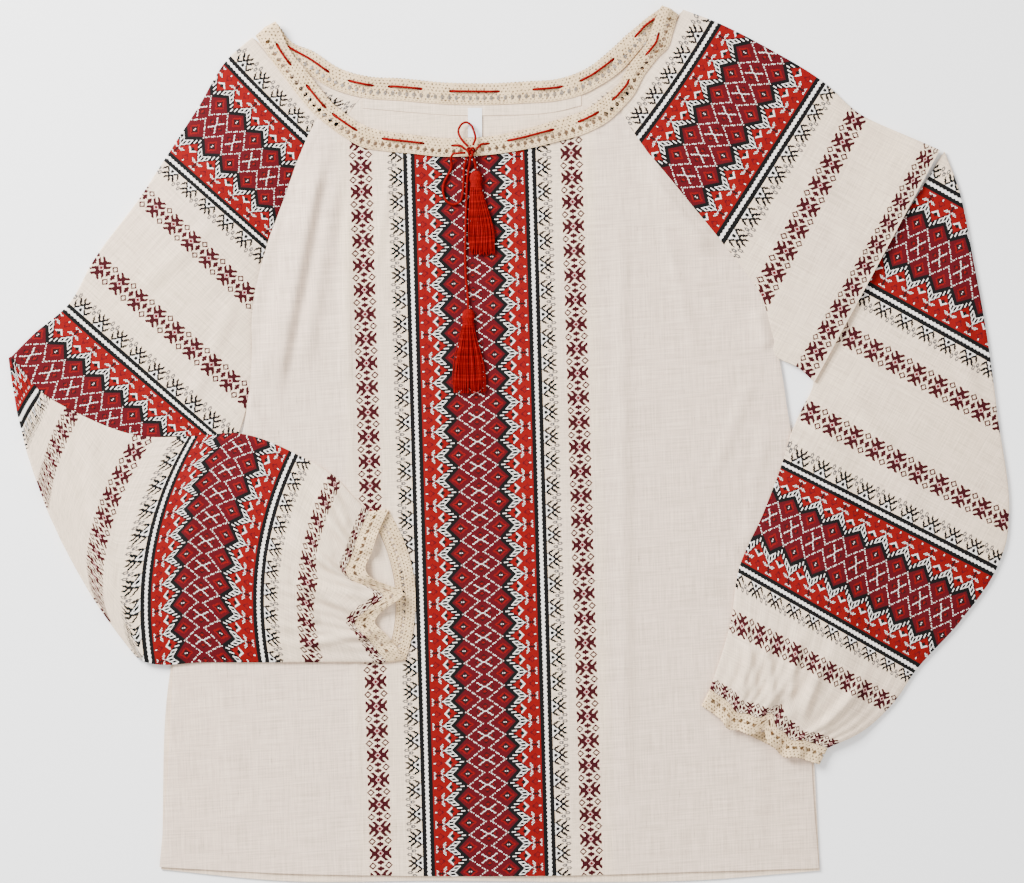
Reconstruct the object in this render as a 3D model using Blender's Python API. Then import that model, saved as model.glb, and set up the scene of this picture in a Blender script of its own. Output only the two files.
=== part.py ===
"""Raglan blouse of linen with woven bands, laid flat on its back, sleeves folded in.

The front lies on the back. Each sleeve is one sheet of cloth, wrapped round from the
front raglan seam, over the outer fold and back to the hidden seam. The left sleeve folds
once, so its forearm lies on the body. The right sleeve has a deep pleat, so its upper
stretch lies like a flap on the stretch below. Crochet lace edges the neck and the cuffs.
A drawstring runs in and out of the neck lace and ends in two tassels.

Tables are in millimetres, +X to the right, +Y towards the neck, +Z up off the surface.
"""
import math
from collections import namedtuple

import bmesh
import bpy

MM = 0.001
WALL = 1.2              # cloth, with its seam allowances
LACE = 1.0              # crochet lace
GAP = 0.3               # between pieces, and between the layers of one piece
CORD_RADIUS = 1.0
FOLD_RADIUS = (WALL + GAP) / 2          # middle of the wall at a pressed fold
TUBE = 2 * WALL + GAP                   # a sleeve laid flat, two walls
LAYER = TUBE + GAP                      # what lies on it starts here
FRONT_TOP = TUBE                        # top of the front panel where it is flat

CENTRE = (-1.728, -0.685)               # middle of the blouse in the tables

Point = namedtuple("Point", "x y")
Spot = namedtuple("Spot", "x y z")
BodyRow = namedtuple("BodyRow", "left right")
Ruling = namedtuple("Ruling", "outer front back bow_front bow_back puff")
Fold = namedtuple("Fold", "start end width height")
LaceRow = namedtuple("LaceRow", "sewn free z_sewn z_cord")
Tassel = namedtuple("Tassel", "x top neck foot left right")

# Neckline of each panel, left to right
FRONT_NECK = [Point(-153, 264), Point(-137, 250), Point(-119, 240), Point(-80, 234.5),
              Point(-33, 232), Point(12, 238), Point(54, 248.5), Point(76, 259.5),
              Point(86, 268.5)]
BACK_NECK = [Point(-119, 279), Point(-90, 276.5), Point(-50, 273.5), Point(-9, 273.2),
             Point(38, 276.5), Point(56, 281)]
FRONT_HEM = [Point(-281, -339), Point(-186, -344), Point(-89, -346), Point(34, -346),
             Point(142, -343), Point(246, -340)]
BACK_HEM = [Point(-280, -341), Point(-186, -350), Point(-57, -350), Point(65, -351),
            Point(142, -350), Point(247, -342)]

# Raglan seams and then the sides, neck to hem
FRONT_ROWS = [
    BodyRow(Point(-153, 264), Point(86, 268.5)),
    BodyRow(Point(-162, 246), Point(99, 247)),
    BodyRow(Point(-181, 198), Point(133, 204)),
    BodyRow(Point(-196, 156), Point(169, 160)),
    BodyRow(Point(-206, 113), Point(201, 117)),
    BodyRow(Point(-210, 37), Point(215, 64)),
    BodyRow(Point(-216, 0), Point(221, 26)),
    BodyRow(Point(-232, -60), Point(228, -20)),
    BodyRow(Point(-252, -110), Point(233, -80)),
    BodyRow(Point(-268, -160), Point(237, -140)),
    BodyRow(Point(-272, -215), Point(239, -205)),
    BodyRow(Point(-275, -270), Point(241, -270)),
    BodyRow(Point(-281, -339), Point(246, -340)),
]
BACK_ROWS = [
    BodyRow(Point(-119, 279), Point(56, 281)),
    BodyRow(Point(-133, 260), Point(76, 258)),
    BodyRow(Point(-157, 212), Point(115, 212)),
    BodyRow(Point(-181, 165), Point(156, 166)),
    BodyRow(Point(-198, 120), Point(200.6, 117.6)),
    BodyRow(Point(-209, 37), Point(214, 64)),
    BodyRow(Point(-232, -60), Point(227, -20)),
    BodyRow(Point(-268, -160), Point(236, -140)),
    BodyRow(Point(-280, -341), Point(247, -342)),
]

# Soft folds raised on the front panel
FRONT_FOLDS = [
    Fold(Point(-153, 236), Point(-196, 40), 17, 5.0),
    Fold(Point(-138, 222), Point(-168, 52), 12, 2.6),
    Fold(Point(104, 226), Point(166, 148), 15, 3.4),
    Fold(Point(88, 232), Point(92, -330), 10, 1.5),
    Fold(Point(-128, 216), Point(-134, 30), 9, 1.4),
    Fold(Point(196, 108), Point(206, 74), 9, 2.6),
]

# Sleeve rulings run from the outer fold to the front and the back seam
LEFT_UPPER = [
    Ruling(Point(-206, 323.5), Point(-153, 264), Point(-119, 279), 1, 3, 0),
    Ruling(Point(-224, 308), Point(-162, 246), Point(-133, 260), 1, 4, 1.4),
    Ruling(Point(-249, 268), Point(-181, 198), Point(-157, 212), 0, 0, 3.6),
    Ruling(Point(-276, 226), Point(-196, 156), Point(-181, 165), 0, 0, 4.4),
    Ruling(Point(-294, 198), Point(-206, 113), Point(-198, 120), 0, 0, 4.2),
    Ruling(Point(-333, 145), Point(-210, 37), Point(-209, 37), 0, 0, 2.4),
    Ruling(Point(-353, 110), Point(-223, -4), Point(-223, -4), 0, 0, 0),
    Ruling(Point(-381, 86), Point(-252, -70), Point(-252, -70), 8, 8, 0),
    Ruling(Point(-399, 68), Point(-297, -170), Point(-297, -170), 19, 19, 0),
]
LEFT_LOWER = [
    Ruling(Point(-378, 42), Point(-296, -171), Point(-296, -171), 21, 21, 0.6),
    Ruling(Point(-345, 22), Point(-295, -172), Point(-295, -172), 22, 22, 2.2),
    Ruling(Point(-294, 4), Point(-294, -173), Point(-294, -173), 20, 20, 4.0),
    Ruling(Point(-258, 4), Point(-291, -174), Point(-291, -174), 16, 16, 5.0),
    Ruling(Point(-215, 6), Point(-245, -174), Point(-245, -174), 15, 15, 5.6),
    Ruling(Point(-172, -10), Point(-195, -174), Point(-195, -174), 13, 13, 6.0),
    Ruling(Point(-139, -30), Point(-158, -174), Point(-158, -174), 13, 13, 6.6),
    Ruling(Point(-127, -43), Point(-128, -174), Point(-128, -174), 4, 16, 5.6),
    Ruling(Point(-114, -56), Point(-100, -174), Point(-100, -174), -14, 21, 3.0),
]
RIGHT_UPPER = [
    Ruling(Point(137, 345.5), Point(86, 268.5), Point(56, 281), -2.5, -3, 0),
    Ruling(Point(160, 337), Point(99, 247), Point(76, 258), -2, -4, 1.4),
    Ruling(Point(206, 314), Point(133, 204), Point(115, 212), 0, 0, 3.6),
    Ruling(Point(250, 287), Point(169, 160), Point(156, 166), 0, 0, 4.6),
    Ruling(Point(277, 263), Point(201, 117), Point(200.6, 117.6), 0, 0, 4.4),
    Ruling(Point(310, 247), Point(214.4, 68), Point(214.4, 68), 0, 0, 3.4),
    Ruling(Point(333, 237), Point(229, 62), Point(229, 62), 0, 0, 2.2),
    Ruling(Point(342, 233), Point(243, 50), Point(243, 50), 0, 0, 0.8),
]
RIGHT_LOWER = [
    Ruling(Point(346, 232), Point(240, 60), Point(240, 60), 0, 0, 0),
    Ruling(Point(356, 206), Point(242, 55), Point(242, 55), 0, 0, 0),
    Ruling(Point(369, 144), Point(243, 49), Point(243, 49), 0, 0, 0.8),
    Ruling(Point(380, 82), Point(241, 41), Point(241, 41), 0, 0, 2.0),
    Ruling(Point(388, 21), Point(237, 33), Point(237, 33), 0, 0, 3.4),
    Ruling(Point(397, -58), Point(232, 23), Point(232, 23), 0, 0, 4.6),
    Ruling(Point(395, -78), Point(225.4, 8), Point(225.4, 8), 0, 0, 4.8),
    Ruling(Point(388, -98), Point(219, -13), Point(219, -13), 0, 0, 4.8),
    Ruling(Point(358, -142), Point(203, -56), Point(203, -56), 0, 0, 5.2),
    Ruling(Point(322, -182), Point(183, -102), Point(183, -102), 0, 0, 5.6),
    Ruling(Point(304, -208), Point(177, -142), Point(177, -142), 0, 0, 6.4),
    Ruling(Point(281, -229), Point(168, -174), Point(168, -174), 0, 0, 5.2),
    Ruling(Point(252, -243), Point(160, -197), Point(160, -197), -4, -4, 2.8),
]

# What lies under the right sleeve lifts it: the side of the body, then its own pleat
BODY_SIDE = [Point(215, 64), Point(228, -20), Point(237, -140), Point(246, -340)]
BODY_CLEAR = 25
BODY_RAMP = 30
CROSSING_TOP = 20
CROSSING_RAMP = 10
FLAP_CLEAR = 12
FLAP_RAMP = 36

# Neck lace, once round from the front centre over the left shoulder
NECK_LACE = [
    LaceRow(Point(-33, 229.3), Point(-33, 243.6), 3.7, 4.3),
    LaceRow(Point(-56, 229), Point(-54, 243.6), 3.7, 4.3),
    LaceRow(Point(-80, 231.5), Point(-76, 246), 3.7, 4.3),
    LaceRow(Point(-101, 233.5), Point(-96, 248.5), 3.7, 4.3),
    LaceRow(Point(-120, 237), Point(-113, 252), 3.7, 4.3),
    LaceRow(Point(-134, 245), Point(-124, 257.5), 3.7, 4.3),
    LaceRow(Point(-147, 254), Point(-136, 266), 3.7, 4.5),
    LaceRow(Point(-158, 263.5), Point(-145, 274), 3.7, 4.9),
    LaceRow(Point(-168, 275), Point(-155, 286), 3.7, 5.8),
    LaceRow(Point(-180, 291), Point(-166, 300), 3.7, 6.7),
    LaceRow(Point(-192, 307), Point(-177, 314), 3.8, 7.0),
    LaceRow(Point(-203.5, 324.5), Point(-186, 334), 4.0, 9.2),
    LaceRow(Point(-203.5, 324.5), Point(-186, 334), 2.0, 2.9),
    LaceRow(Point(-187, 314), Point(-176, 321), 2.0, 2.9),
    LaceRow(Point(-166, 298), Point(-157, 312.5), 2.0, 2.9),
    LaceRow(Point(-146, 285), Point(-138, 300), 2.0, 2.9),
    LaceRow(Point(-119, 276.5), Point(-114, 293), 2.0, 2.9),
    LaceRow(Point(-90, 274), Point(-88, 291.5), 2.0, 2.9),
    LaceRow(Point(-50, 271), Point(-50, 288), 2.0, 2.9),
    LaceRow(Point(-18, 270.5), Point(-18, 287.5), 2.0, 2.9),
    LaceRow(Point(12, 272), Point(12, 289), 2.0, 2.9),
    LaceRow(Point(38, 274), Point(37, 291), 2.0, 2.9),
    LaceRow(Point(56, 278.5), Point(52, 295.5), 2.0, 2.9),
    LaceRow(Point(71, 286), Point(63, 301), 2.0, 2.9),
    LaceRow(Point(88, 298), Point(77, 312), 2.0, 2.9),
    LaceRow(Point(104, 316), Point(92, 326), 2.0, 2.9),
    LaceRow(Point(117, 333), Point(105, 337), 2.0, 2.9),
    LaceRow(Point(133, 341.5), Point(118.5, 346.8), 2.0, 2.9),
    LaceRow(Point(133, 341.5), Point(118.5, 346.8), 4.0, 9.2),
    LaceRow(Point(129, 328), Point(112, 330), 3.8, 7.0),
    LaceRow(Point(125.5, 316.5), Point(109, 321), 3.7, 6.8),
    LaceRow(Point(117, 308), Point(103.5, 313), 3.7, 6.6),
    LaceRow(Point(105, 292), Point(92, 298), 3.7, 6.0),
    LaceRow(Point(98, 278.5), Point(86, 287), 3.7, 5.2),
    LaceRow(Point(88.5, 267.5), Point(77, 279), 3.7, 4.6),
    LaceRow(Point(78, 257.5), Point(68, 271.5), 3.7, 4.3),
    LaceRow(Point(66, 250.5), Point(58, 265.5), 3.7, 4.3),
    LaceRow(Point(52, 245), Point(46, 261), 3.7, 4.3),
    LaceRow(Point(38, 241.3), Point(33, 257), 3.7, 4.3),
    LaceRow(Point(12, 235), Point(8, 250), 3.7, 4.3),
    LaceRow(Point(-9, 231.5), Point(-11, 246), 3.7, 4.3),
]
LEFT_TIP = 11           # the lace turns over after this row, and again after the next one
RIGHT_TIP = 27
LACE_STOPS = (0.0, 0.52, 0.70, 1.0)     # across the lace: sewn edge, slot, free edge
CORD_STOP = 0.61
FREE_DROP = 0.4

# The cord crosses the lace at these places, in rows of NECK_LACE; first it lies on it
CROSSINGS = [0.54, 1.76, 3.13, 4.78, 6.04, 6.96, 8.15, 9.5, 10.29,
             14.67, 15.56, 16.12, 16.76, 17.39, 18.11, 19.2, 20.32, 21.08, 22.31, 23.92, 25.32,
             29.41, 30.92, 32.62, 33.86, 35.4, 36.4, 38.13, 39.51, 40.43]
SLOT_HALF = 3.6
CROSS_HALF = 3.0
CORD_RISE = LACE / 2 + GAP + CORD_RADIUS

KNOT_CENTRE = Spot(-32.0, 232.5, 8.2)
KNOT_SIZE = Spot(3.8, 5.0, 2.6)
DRAWSTRING_START = [Spot(-36.1, 234.1, 7.6), Spot(-39.4, 236.8, 6.7)]
DRAWSTRING_END = [Spot(-25.0, 237.4, 6.7), Spot(-27.6, 234.2, 7.6)]
LOOP_TOP = [Spot(-34.0, 236.6, 8.8), Spot(-38.0, 240.4, 8.6), Spot(-41.0, 245.0, 7.6),
            Spot(-42.0, 249.5, 6.4), Spot(-40.0, 254.0, 5.8), Spot(-36.0, 256.2, 5.4),
            Spot(-32.0, 254.0, 5.8), Spot(-29.6, 249.0, 6.6), Spot(-28.4, 243.0, 7.8),
            Spot(-30.6, 237.6, 8.6)]
LOOP_LEFT = [Spot(-36.2, 231.6, 8.4), Spot(-42.0, 231.2, 8.9), Spot(-46.0, 230.6, 8.4),
             Spot(-48.0, 227.6, 7.2), Spot(-47.6, 223.8, 5.4), Spot(-48.0, 219.0, 4.1),
             Spot(-51.0, 213.0, 4.1), Spot(-53.8, 207.0, 4.1), Spot(-54.2, 200.0, 4.1),
             Spot(-51.8, 193.6, 4.1), Spot(-46.0, 190.6, 4.1), Spot(-40.6, 193.2, 4.1),
             Spot(-38.6, 200.0, 4.1), Spot(-38.0, 209.0, 4.1), Spot(-37.6, 218.0, 4.2),
             Spot(-36.8, 223.0, 5.4), Spot(-35.4, 227.8, 7.4)]
TAIL_LONG = [Spot(-32.4, 227.3, 7.6), Spot(-33.0, 222.4, 5.8), Spot(-34.2, 217.0, 4.2),
             Spot(-35.2, 206.0, 4.1), Spot(-35.8, 190.0, 4.1), Spot(-36.4, 170.0, 4.1),
             Spot(-36.6, 150.0, 4.1), Spot(-36.0, 132.0, 4.1), Spot(-34.6, 118.0, 4.2),
             Spot(-34.2, 107.4, 5.4)]
TAIL_SHORT = [Spot(-29.9, 227.7, 7.7), Spot(-28.4, 222.0, 6.4), Spot(-28.0, 217.8, 5.6)]
CORD_STEP = 4.5

LABEL_WIDTH = 11.2
LABEL_TOP = 268.0
LABEL_FOOT = 244.5
LABEL_X = -28.8

LABEL_WALL = 0.6

# Tassels lie on the front; strands fan from the neck to the foot
TASSEL_UPPER = Tassel(-28.0, 217.4, 205.0, 150.0, -33.6, -12.6)
TASSEL_LOWER = Tassel(-34.2, 107.0, 95.0, 39.0, -46.6, -19.6)
TASSEL_BASE = FRONT_TOP + GAP
TASSEL_WIDTH = 10.4
TASSEL_THICK = 5.2
TASSEL_LAYERS = 3
TASSEL_ACROSS = 10
STRAND_SHARE = 0.7      # of a cell
FOOT_LAYER = 1.3

COLOURS = {
    "linen": (0.76, 0.70, 0.61),
    "band": (0.45, 0.02, 0.03),
    "lace": (0.80, 0.69, 0.47),
    "cord": (0.62, 0.01, 0.01),
    "label": (0.88, 0.88, 0.88),
}


def mix(a, b, t):
    """Number between a and b."""
    return a + (b - a) * t


def ease(t):
    """Smooth step from 0 to 1."""
    t = min(max(t, 0.0), 1.0)
    return t * t * (3 - 2 * t)


def between(p, q, t):
    """Point on the line from p to q."""
    return Point(mix(p.x, q.x, t), mix(p.y, q.y, t))


def along(points, t):
    """Point at the fraction t of a polyline's length."""
    steps = [math.dist(p, q) for p, q in zip(points, points[1:])]
    want = t * sum(steps)
    for p, q, step in zip(points, points[1:], steps):
        if want <= step or q is points[-1]:
            return between(p, q, min(want / step, 1.0))
        want -= step
    return points[-1]


def in_frame(point):
    """Position in metres, from the middle of the blouse."""
    return ((point[0] - CENTRE[0]) * MM, (point[1] - CENTRE[1]) * MM, point[2] * MM)


def side_x(y):
    """Edge of the body on the right, at the height y of the photo's plane."""
    for p, q in zip(BODY_SIDE, BODY_SIDE[1:]):
        if y >= q.y:
            return mix(p.x, q.x, min(max((p.y - y) / (p.y - q.y), 0.0), 1.0))
    return BODY_SIDE[-1].x


def front_height(x, y):
    """Rise of the front panel's soft folds above its flat part."""
    rise = 0.0
    for fold in FRONT_FOLDS:
        dx = fold.end.x - fold.start.x
        dy = fold.end.y - fold.start.y
        t = ((x - fold.start.x) * dx + (y - fold.start.y) * dy) / (dx * dx + dy * dy)
        if 0 < t < 1:
            off = math.hypot(x - fold.start.x - dx * t, y - fold.start.y - dy * t) / fold.width
            if off < 1:
                rise += fold.height * ease(5 * t) * ease(5 * (1 - t)) * (1 + math.cos(math.pi * off)) / 2
    return rise


def lower_ground(x, y):
    """Height under the right sleeve's lower stretch, which lies on the side of the body."""
    across = 1 - ease((x - side_x(y) - BODY_CLEAR) / BODY_RAMP)
    down = ease((CROSSING_TOP - y) / CROSSING_RAMP)
    return LAYER * across * down


def flap_ground(x, y):
    """Height under the right sleeve's flap, which lies on the stretch that it covers."""
    outer = RIGHT_UPPER[-1].outer
    inner = RIGHT_UPPER[-1].front
    length = math.dist(outer, inner)
    off = ((inner.y - outer.y) * (x - outer.x) - (inner.x - outer.x) * (y - outer.y)) / length
    return LAYER * (1 - ease((off - FLAP_CLEAR) / FLAP_RAMP))


def no_ground(x, y):
    """A stretch that lies on the surface itself."""
    return 0.0


def material(name, colour, roughness=0.9):
    """Plain cloth finish."""
    finish = bpy.data.materials.new(name)
    finish.use_nodes = True
    shader = finish.node_tree.nodes["Principled BSDF"]
    shader.inputs["Base Color"].default_value = (*colour, 1.0)
    shader.inputs["Roughness"].default_value = roughness
    shader.inputs["Metallic"].default_value = 0.0
    return finish


def add_object(name, mesh, colour):
    """Object for one node, with a material of its own."""
    thing = bpy.data.objects.new(name, mesh)
    bpy.context.scene.collection.objects.link(thing)
    mesh.materials.append(material(name + "_finish", COLOURS[colour]))
    return thing


def mesh_from(name, points, faces, colour):
    """Closed mesh from points in millimetres."""
    bm = bmesh.new()
    verts = [bm.verts.new(in_frame(point)) for point in points]
    for face in faces:
        bm.faces.new([verts[i] for i in face])
    bmesh.ops.recalc_face_normals(bm, faces=bm.faces[:])
    mesh = bpy.data.meshes.new(name)
    bm.to_mesh(mesh)
    bm.free()
    mesh.shade_smooth()
    mesh.set_sharp_from_angle(angle=math.radians(40))
    return add_object(name, mesh, colour)


def shell(name, outer, inner, colour, ring=False, holes=(), mirror_at=None):
    """Wall between two grids of points, with its rims and the walls of its holes.

    A grid is a list of rows. A ring joins its last row to its first. Cells are cut along
    the other diagonal from column mirror_at on, so that two layers that lie on each other
    bend along the same lines.
    """
    rows = len(outer)
    columns = len(outer[0])
    cells_down = rows if ring else rows - 1
    points = [p for row in outer for p in row] + [p for row in inner for p in row]
    shift = rows * columns
    faces = []

    def index(i, j):
        return (i % rows) * columns + j

    def open_cell(i, j):
        if ring:
            i %= rows
        return not (0 <= i < cells_down and 0 <= j < columns - 1) or (i, j) in holes

    for i in range(cells_down):
        for j in range(columns - 1):
            if (i, j) in holes:
                continue
            a, b = index(i, j), index(i, j + 1)
            c, d = index(i + 1, j + 1), index(i + 1, j)
            if mirror_at is not None and j >= mirror_at:
                halves = [(a, b, d), (b, c, d)]
            else:
                halves = [(a, b, c), (a, c, d)]
            faces += halves
            faces += [tuple(shift + k for k in reversed(half)) for half in halves]
            for beside, p, q in (((i - 1, j), a, b), ((i + 1, j), c, d),
                                 ((i, j - 1), d, a), ((i, j + 1), b, c)):
                if open_cell(*beside):
                    faces.append((q, p, shift + p, shift + q))
    return mesh_from(name, points, faces, colour)


def panel(name, rows, neck, hem, columns, bottom, rise, fine=1):
    """Body panel as a patch between its neckline, sides and hem."""
    outer = []
    inner = []
    last = (len(rows) - 1) * fine
    for step in range(last + 1):
        k = min(step // fine, len(rows) - 2)
        part = step / fine - k
        left = between(rows[k].left, rows[k + 1].left, part)
        right = between(rows[k].right, rows[k + 1].right, part)
        v = step / last
        row = []
        for column in range(columns + 1):
            u = column / columns
            top = along(neck, u)
            foot = along(hem, u)
            chord_top = between(neck[0], neck[-1], u)
            chord_foot = between(hem[0], hem[-1], u)
            across = between(left, right, u)
            row.append(Point(across.x + (1 - v) * (top.x - chord_top.x) + v * (foot.x - chord_foot.x),
                             across.y + (1 - v) * (top.y - chord_top.y) + v * (foot.y - chord_foot.y)))
        heights = [bottom + rise(p.x, p.y) for p in row]
        inner.append([(p.x, p.y, z) for p, z in zip(row, heights)])
        outer.append([(p.x, p.y, z + WALL) for p, z in zip(row, heights)])
    return shell(name, outer, inner, "linen")


# A sleeve's section: seam edge, over the top, round the outer fold, back below
SEAM_ANGLES = (75, 40, 0)
FOLD_ANGLES = (0, 60, 120, 180)
ACROSS = 10


def section(ruling, closed, flipped, gather, offset):
    """Section of a flattened sleeve as (front share, place u, beyond, height w) tuples.

    Args:
        ruling: The row of the table.
        closed: Whether the seam edges meet below the arm.
        flipped: Whether the back faces up, as on a forearm that is folded over.
        gather: Height of the gathers.
        offset: Distance from the middle of the wall.
    """
    radius = FOLD_RADIUS + offset
    found = []
    for front in (True, False):
        visible = front != flipped
        side = []
        for angle in SEAM_ANGLES[:-1]:
            turn = math.radians(angle)
            if closed:
                side.append((front, 1.0, radius * math.sin(turn), radius * math.cos(turn)))
            else:
                side.append((front, 1.0, -(1.5 - angle / 50), radius))
        for k in range(ACROSS + 1):
            u = 1 - k / ACROSS
            swell = 0.0
            if visible:
                swell = ruling.puff * math.sin(math.pi * u) ** 0.8
                swell += gather * math.sin(math.pi * u) * (1 + math.cos(2 * math.pi * ACROSS / 2 * u)) / 2
            beyond = -2.2 if k == 0 and not closed else 0.0
            side.append((front, u, beyond, radius + swell))
        found.append(side)
    fold = [(True, 0.0, radius * math.sin(math.radians(angle)), radius * math.cos(math.radians(angle)))
            for angle in FOLD_ANGLES[1:-1]]
    under = [(front, u, beyond, -w) for front, u, beyond, w in reversed(found[1])]
    return found[0] + fold + under


def place(ruling, part, theta, ground, forward=0.0):
    """Point of a section in space."""
    front, u, beyond, w = part
    outer = ruling.outer
    inner = ruling.front if front else ruling.back
    bow = ruling.bow_front if front else ruling.bow_back
    length = math.dist(outer, inner)
    ex = (inner.x - outer.x) / length
    ey = (inner.y - outer.y) / length
    swing = 4 * u * (1 - u) * bow + forward
    reach = u * length + (beyond if u > 0.5 else -beyond)
    x = outer.x + ex * reach + ey * swing
    y = outer.y + ey * reach - ex * swing
    arm = LAYER / 2 - w
    x += ey * arm * math.sin(theta)
    y -= ex * arm * math.sin(theta)
    z = TUBE / 2 + LAYER / 2 - arm * math.cos(theta)
    return (x, y, z + ground(x, y))


def sleeve(name, stations, ground):
    """Sleeve as one sheet; a station is (ruling, closed, theta, gather)."""
    grids = []
    for offset in (WALL / 2, -WALL / 2):
        grid = []
        for ruling, closed, theta, gather in stations:
            parts = section(ruling, closed, theta > math.pi / 2, gather, offset)
            grid.append([place(ruling, part, theta, ground) for part in parts])
        grids.append(grid)
    half = len(grids[0][0]) // 2
    return shell(name, grids[0], grids[1], "band", mirror_at=half)


def seam_inset(ruling, inset=0.45):
    """Ruling with its seam edges drawn back from the body's."""
    ends = []
    for end in (ruling.front, ruling.back):
        ends.append(between(end, ruling.outer, inset / math.dist(end, ruling.outer)))
    return ruling._replace(front=ends[0], back=ends[1])


def left_sleeve():
    """Upper arm on the surface, one fold, and the forearm on top of it."""
    stations = []
    for k, ruling in enumerate(LEFT_UPPER):
        stations.append((seam_inset(ruling), k > 5, 0.0, 0.0))
    crease = seam_inset(LEFT_UPPER[-1])
    for step in range(1, 6):
        stations.append((crease._replace(puff=0), True, math.pi * step / 5, 0.0))
    for k, ruling in enumerate(LEFT_LOWER):
        gather = 1.8 * ease((k - 4) / 3)
        stations.append((ruling, True, math.pi, gather))
    sleeve("sleeve_left", stations, no_ground)


def right_sleeve():
    """Flap from the neck to the pleat, and the stretch that comes out below it."""
    upper = []
    for k, ruling in enumerate(RIGHT_UPPER):
        upper.append((seam_inset(ruling), k > 5, 0.0, 0.0))
    sleeve("sleeve_right_upper", upper, flap_ground)
    lower = []
    for k, ruling in enumerate(RIGHT_LOWER):
        lower.append((ruling, True, 0.0, 1.8 * ease((k - 8) / 3)))
    sleeve("sleeve_right_lower", lower, lower_ground)


def cuff_lace(name, cuff, theta, ground, sense, reach, waves):
    """Ruffled lace that carries a sleeve on past its gathered edge."""
    grids = []
    for offset in (LACE / 2, -LACE / 2):
        grid = []
        for step, (forward, lift) in enumerate(((0.5, 0.0), (reach * 0.5, 0.6), (reach, 1.0))):
            parts = section(cuff, True, theta > math.pi / 2, 1.8, offset)
            row = []
            for front, u, beyond, w in parts:
                visible = front != (theta > math.pi / 2)
                wave = (1 + math.cos(2 * math.pi * waves * u)) / 2
                if visible and 0.05 < u < 0.95:
                    w = math.copysign(abs(w) + 3.0 * lift * wave, w)
                row.append(place(cuff, (front, u, beyond, w), theta, ground, sense * forward))
            grid.append(row)
        grids.append(grid)
    return shell(name, grids[0], grids[1], "lace", mirror_at=len(grids[0][0]) // 2)


def lace_point(t, stop):
    """Middle of the neck lace at row t and the share stop of its width."""
    count = len(NECK_LACE)
    k = int(math.floor(t)) % count
    part = t - math.floor(t)
    a = NECK_LACE[k]
    b = NECK_LACE[(k + 1) % count]
    p = between(a.sewn, a.free, stop)
    q = between(b.sewn, b.free, stop)
    flat = between(p, q, part)
    heights = []
    for row in (a, b):
        if stop <= LACE_STOPS[1]:
            heights.append(mix(row.z_sewn, row.z_cord, stop / LACE_STOPS[1]))
        elif stop <= LACE_STOPS[2]:
            heights.append(row.z_cord)
        else:
            heights.append(row.z_cord - FREE_DROP * (stop - LACE_STOPS[2]) / (1 - LACE_STOPS[2]))
    return (flat.x, flat.y, mix(heights[0], heights[1], part))


def on_back(t):
    """Whether a place on the neck lace is on its back half, which faces down."""
    return LEFT_TIP + 0.5 < t < RIGHT_TIP + 0.5


def row_length(t):
    """Length of the cord's line between the two rows beside t."""
    k = math.floor(t)
    return math.dist(lace_point(k, CORD_STOP)[:2], lace_point(k + 1, CORD_STOP)[:2])


def tip_normal(tip):
    """Direction in which the lace's fold at a shoulder points."""
    here = lace_point(tip, CORD_STOP)
    before = lace_point(tip - 1, CORD_STOP)
    after = lace_point(tip + 2, CORD_STOP)
    dx = here[0] - (before[0] + after[0]) / 2
    dy = here[1] - (before[1] + after[1]) / 2
    length = math.hypot(dx, dy)
    return dx / length, dy / length


def fold_point(tip, stop, angle, offset):
    """Point of the lace's half turn at a shoulder, at an angle from its start."""
    nx, ny = tip_normal(tip)
    x, y, z = lace_point(tip, stop)
    z_next = lace_point(tip + 1, stop)[2]
    reach = (z - z_next) / 2
    radius = abs(reach) + offset
    turn = math.radians(angle)
    return (x + nx * radius * math.sin(turn), y + ny * radius * math.sin(turn),
            (z + z_next) / 2 + math.copysign(radius, reach) * math.cos(turn))


def lace_stations():
    """Rows and slot edges once round the neck, and the rows where a slot starts."""
    stations = {float(k) for k in range(len(NECK_LACE))}
    slots = set()
    for t in CROSSINGS:
        half = SLOT_HALF / row_length(t)
        stations = {s for s in stations if not t - half - 0.08 < s < t + half + 0.08}
        stations |= {t - half, t + half}
        slots.add(t - half)
    return sorted(stations), slots


def neck_lace():
    """Gathered lace round the neck, with a slot wherever the cord passes through it."""
    stations, slots = lace_stations()
    outer = []
    inner = []
    holes = set()
    for t in stations:
        if t in slots:
            holes.add((len(outer), 1))
        sense = -1 if on_back(t) else 1
        places = [lace_point(t, stop) for stop in LACE_STOPS]
        outer.append([(x, y, z + sense * LACE / 2) for x, y, z in places])
        inner.append([(x, y, z - sense * LACE / 2) for x, y, z in places])
        if t in (LEFT_TIP, RIGHT_TIP):
            for angle in (36, 72, 108, 144):
                outer.append([fold_point(int(t), stop, angle, LACE / 2) for stop in LACE_STOPS])
                inner.append([fold_point(int(t), stop, angle, -LACE / 2) for stop in LACE_STOPS])
    shell("neck_lace", outer, inner, "lace", ring=True, holes=holes)


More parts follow.
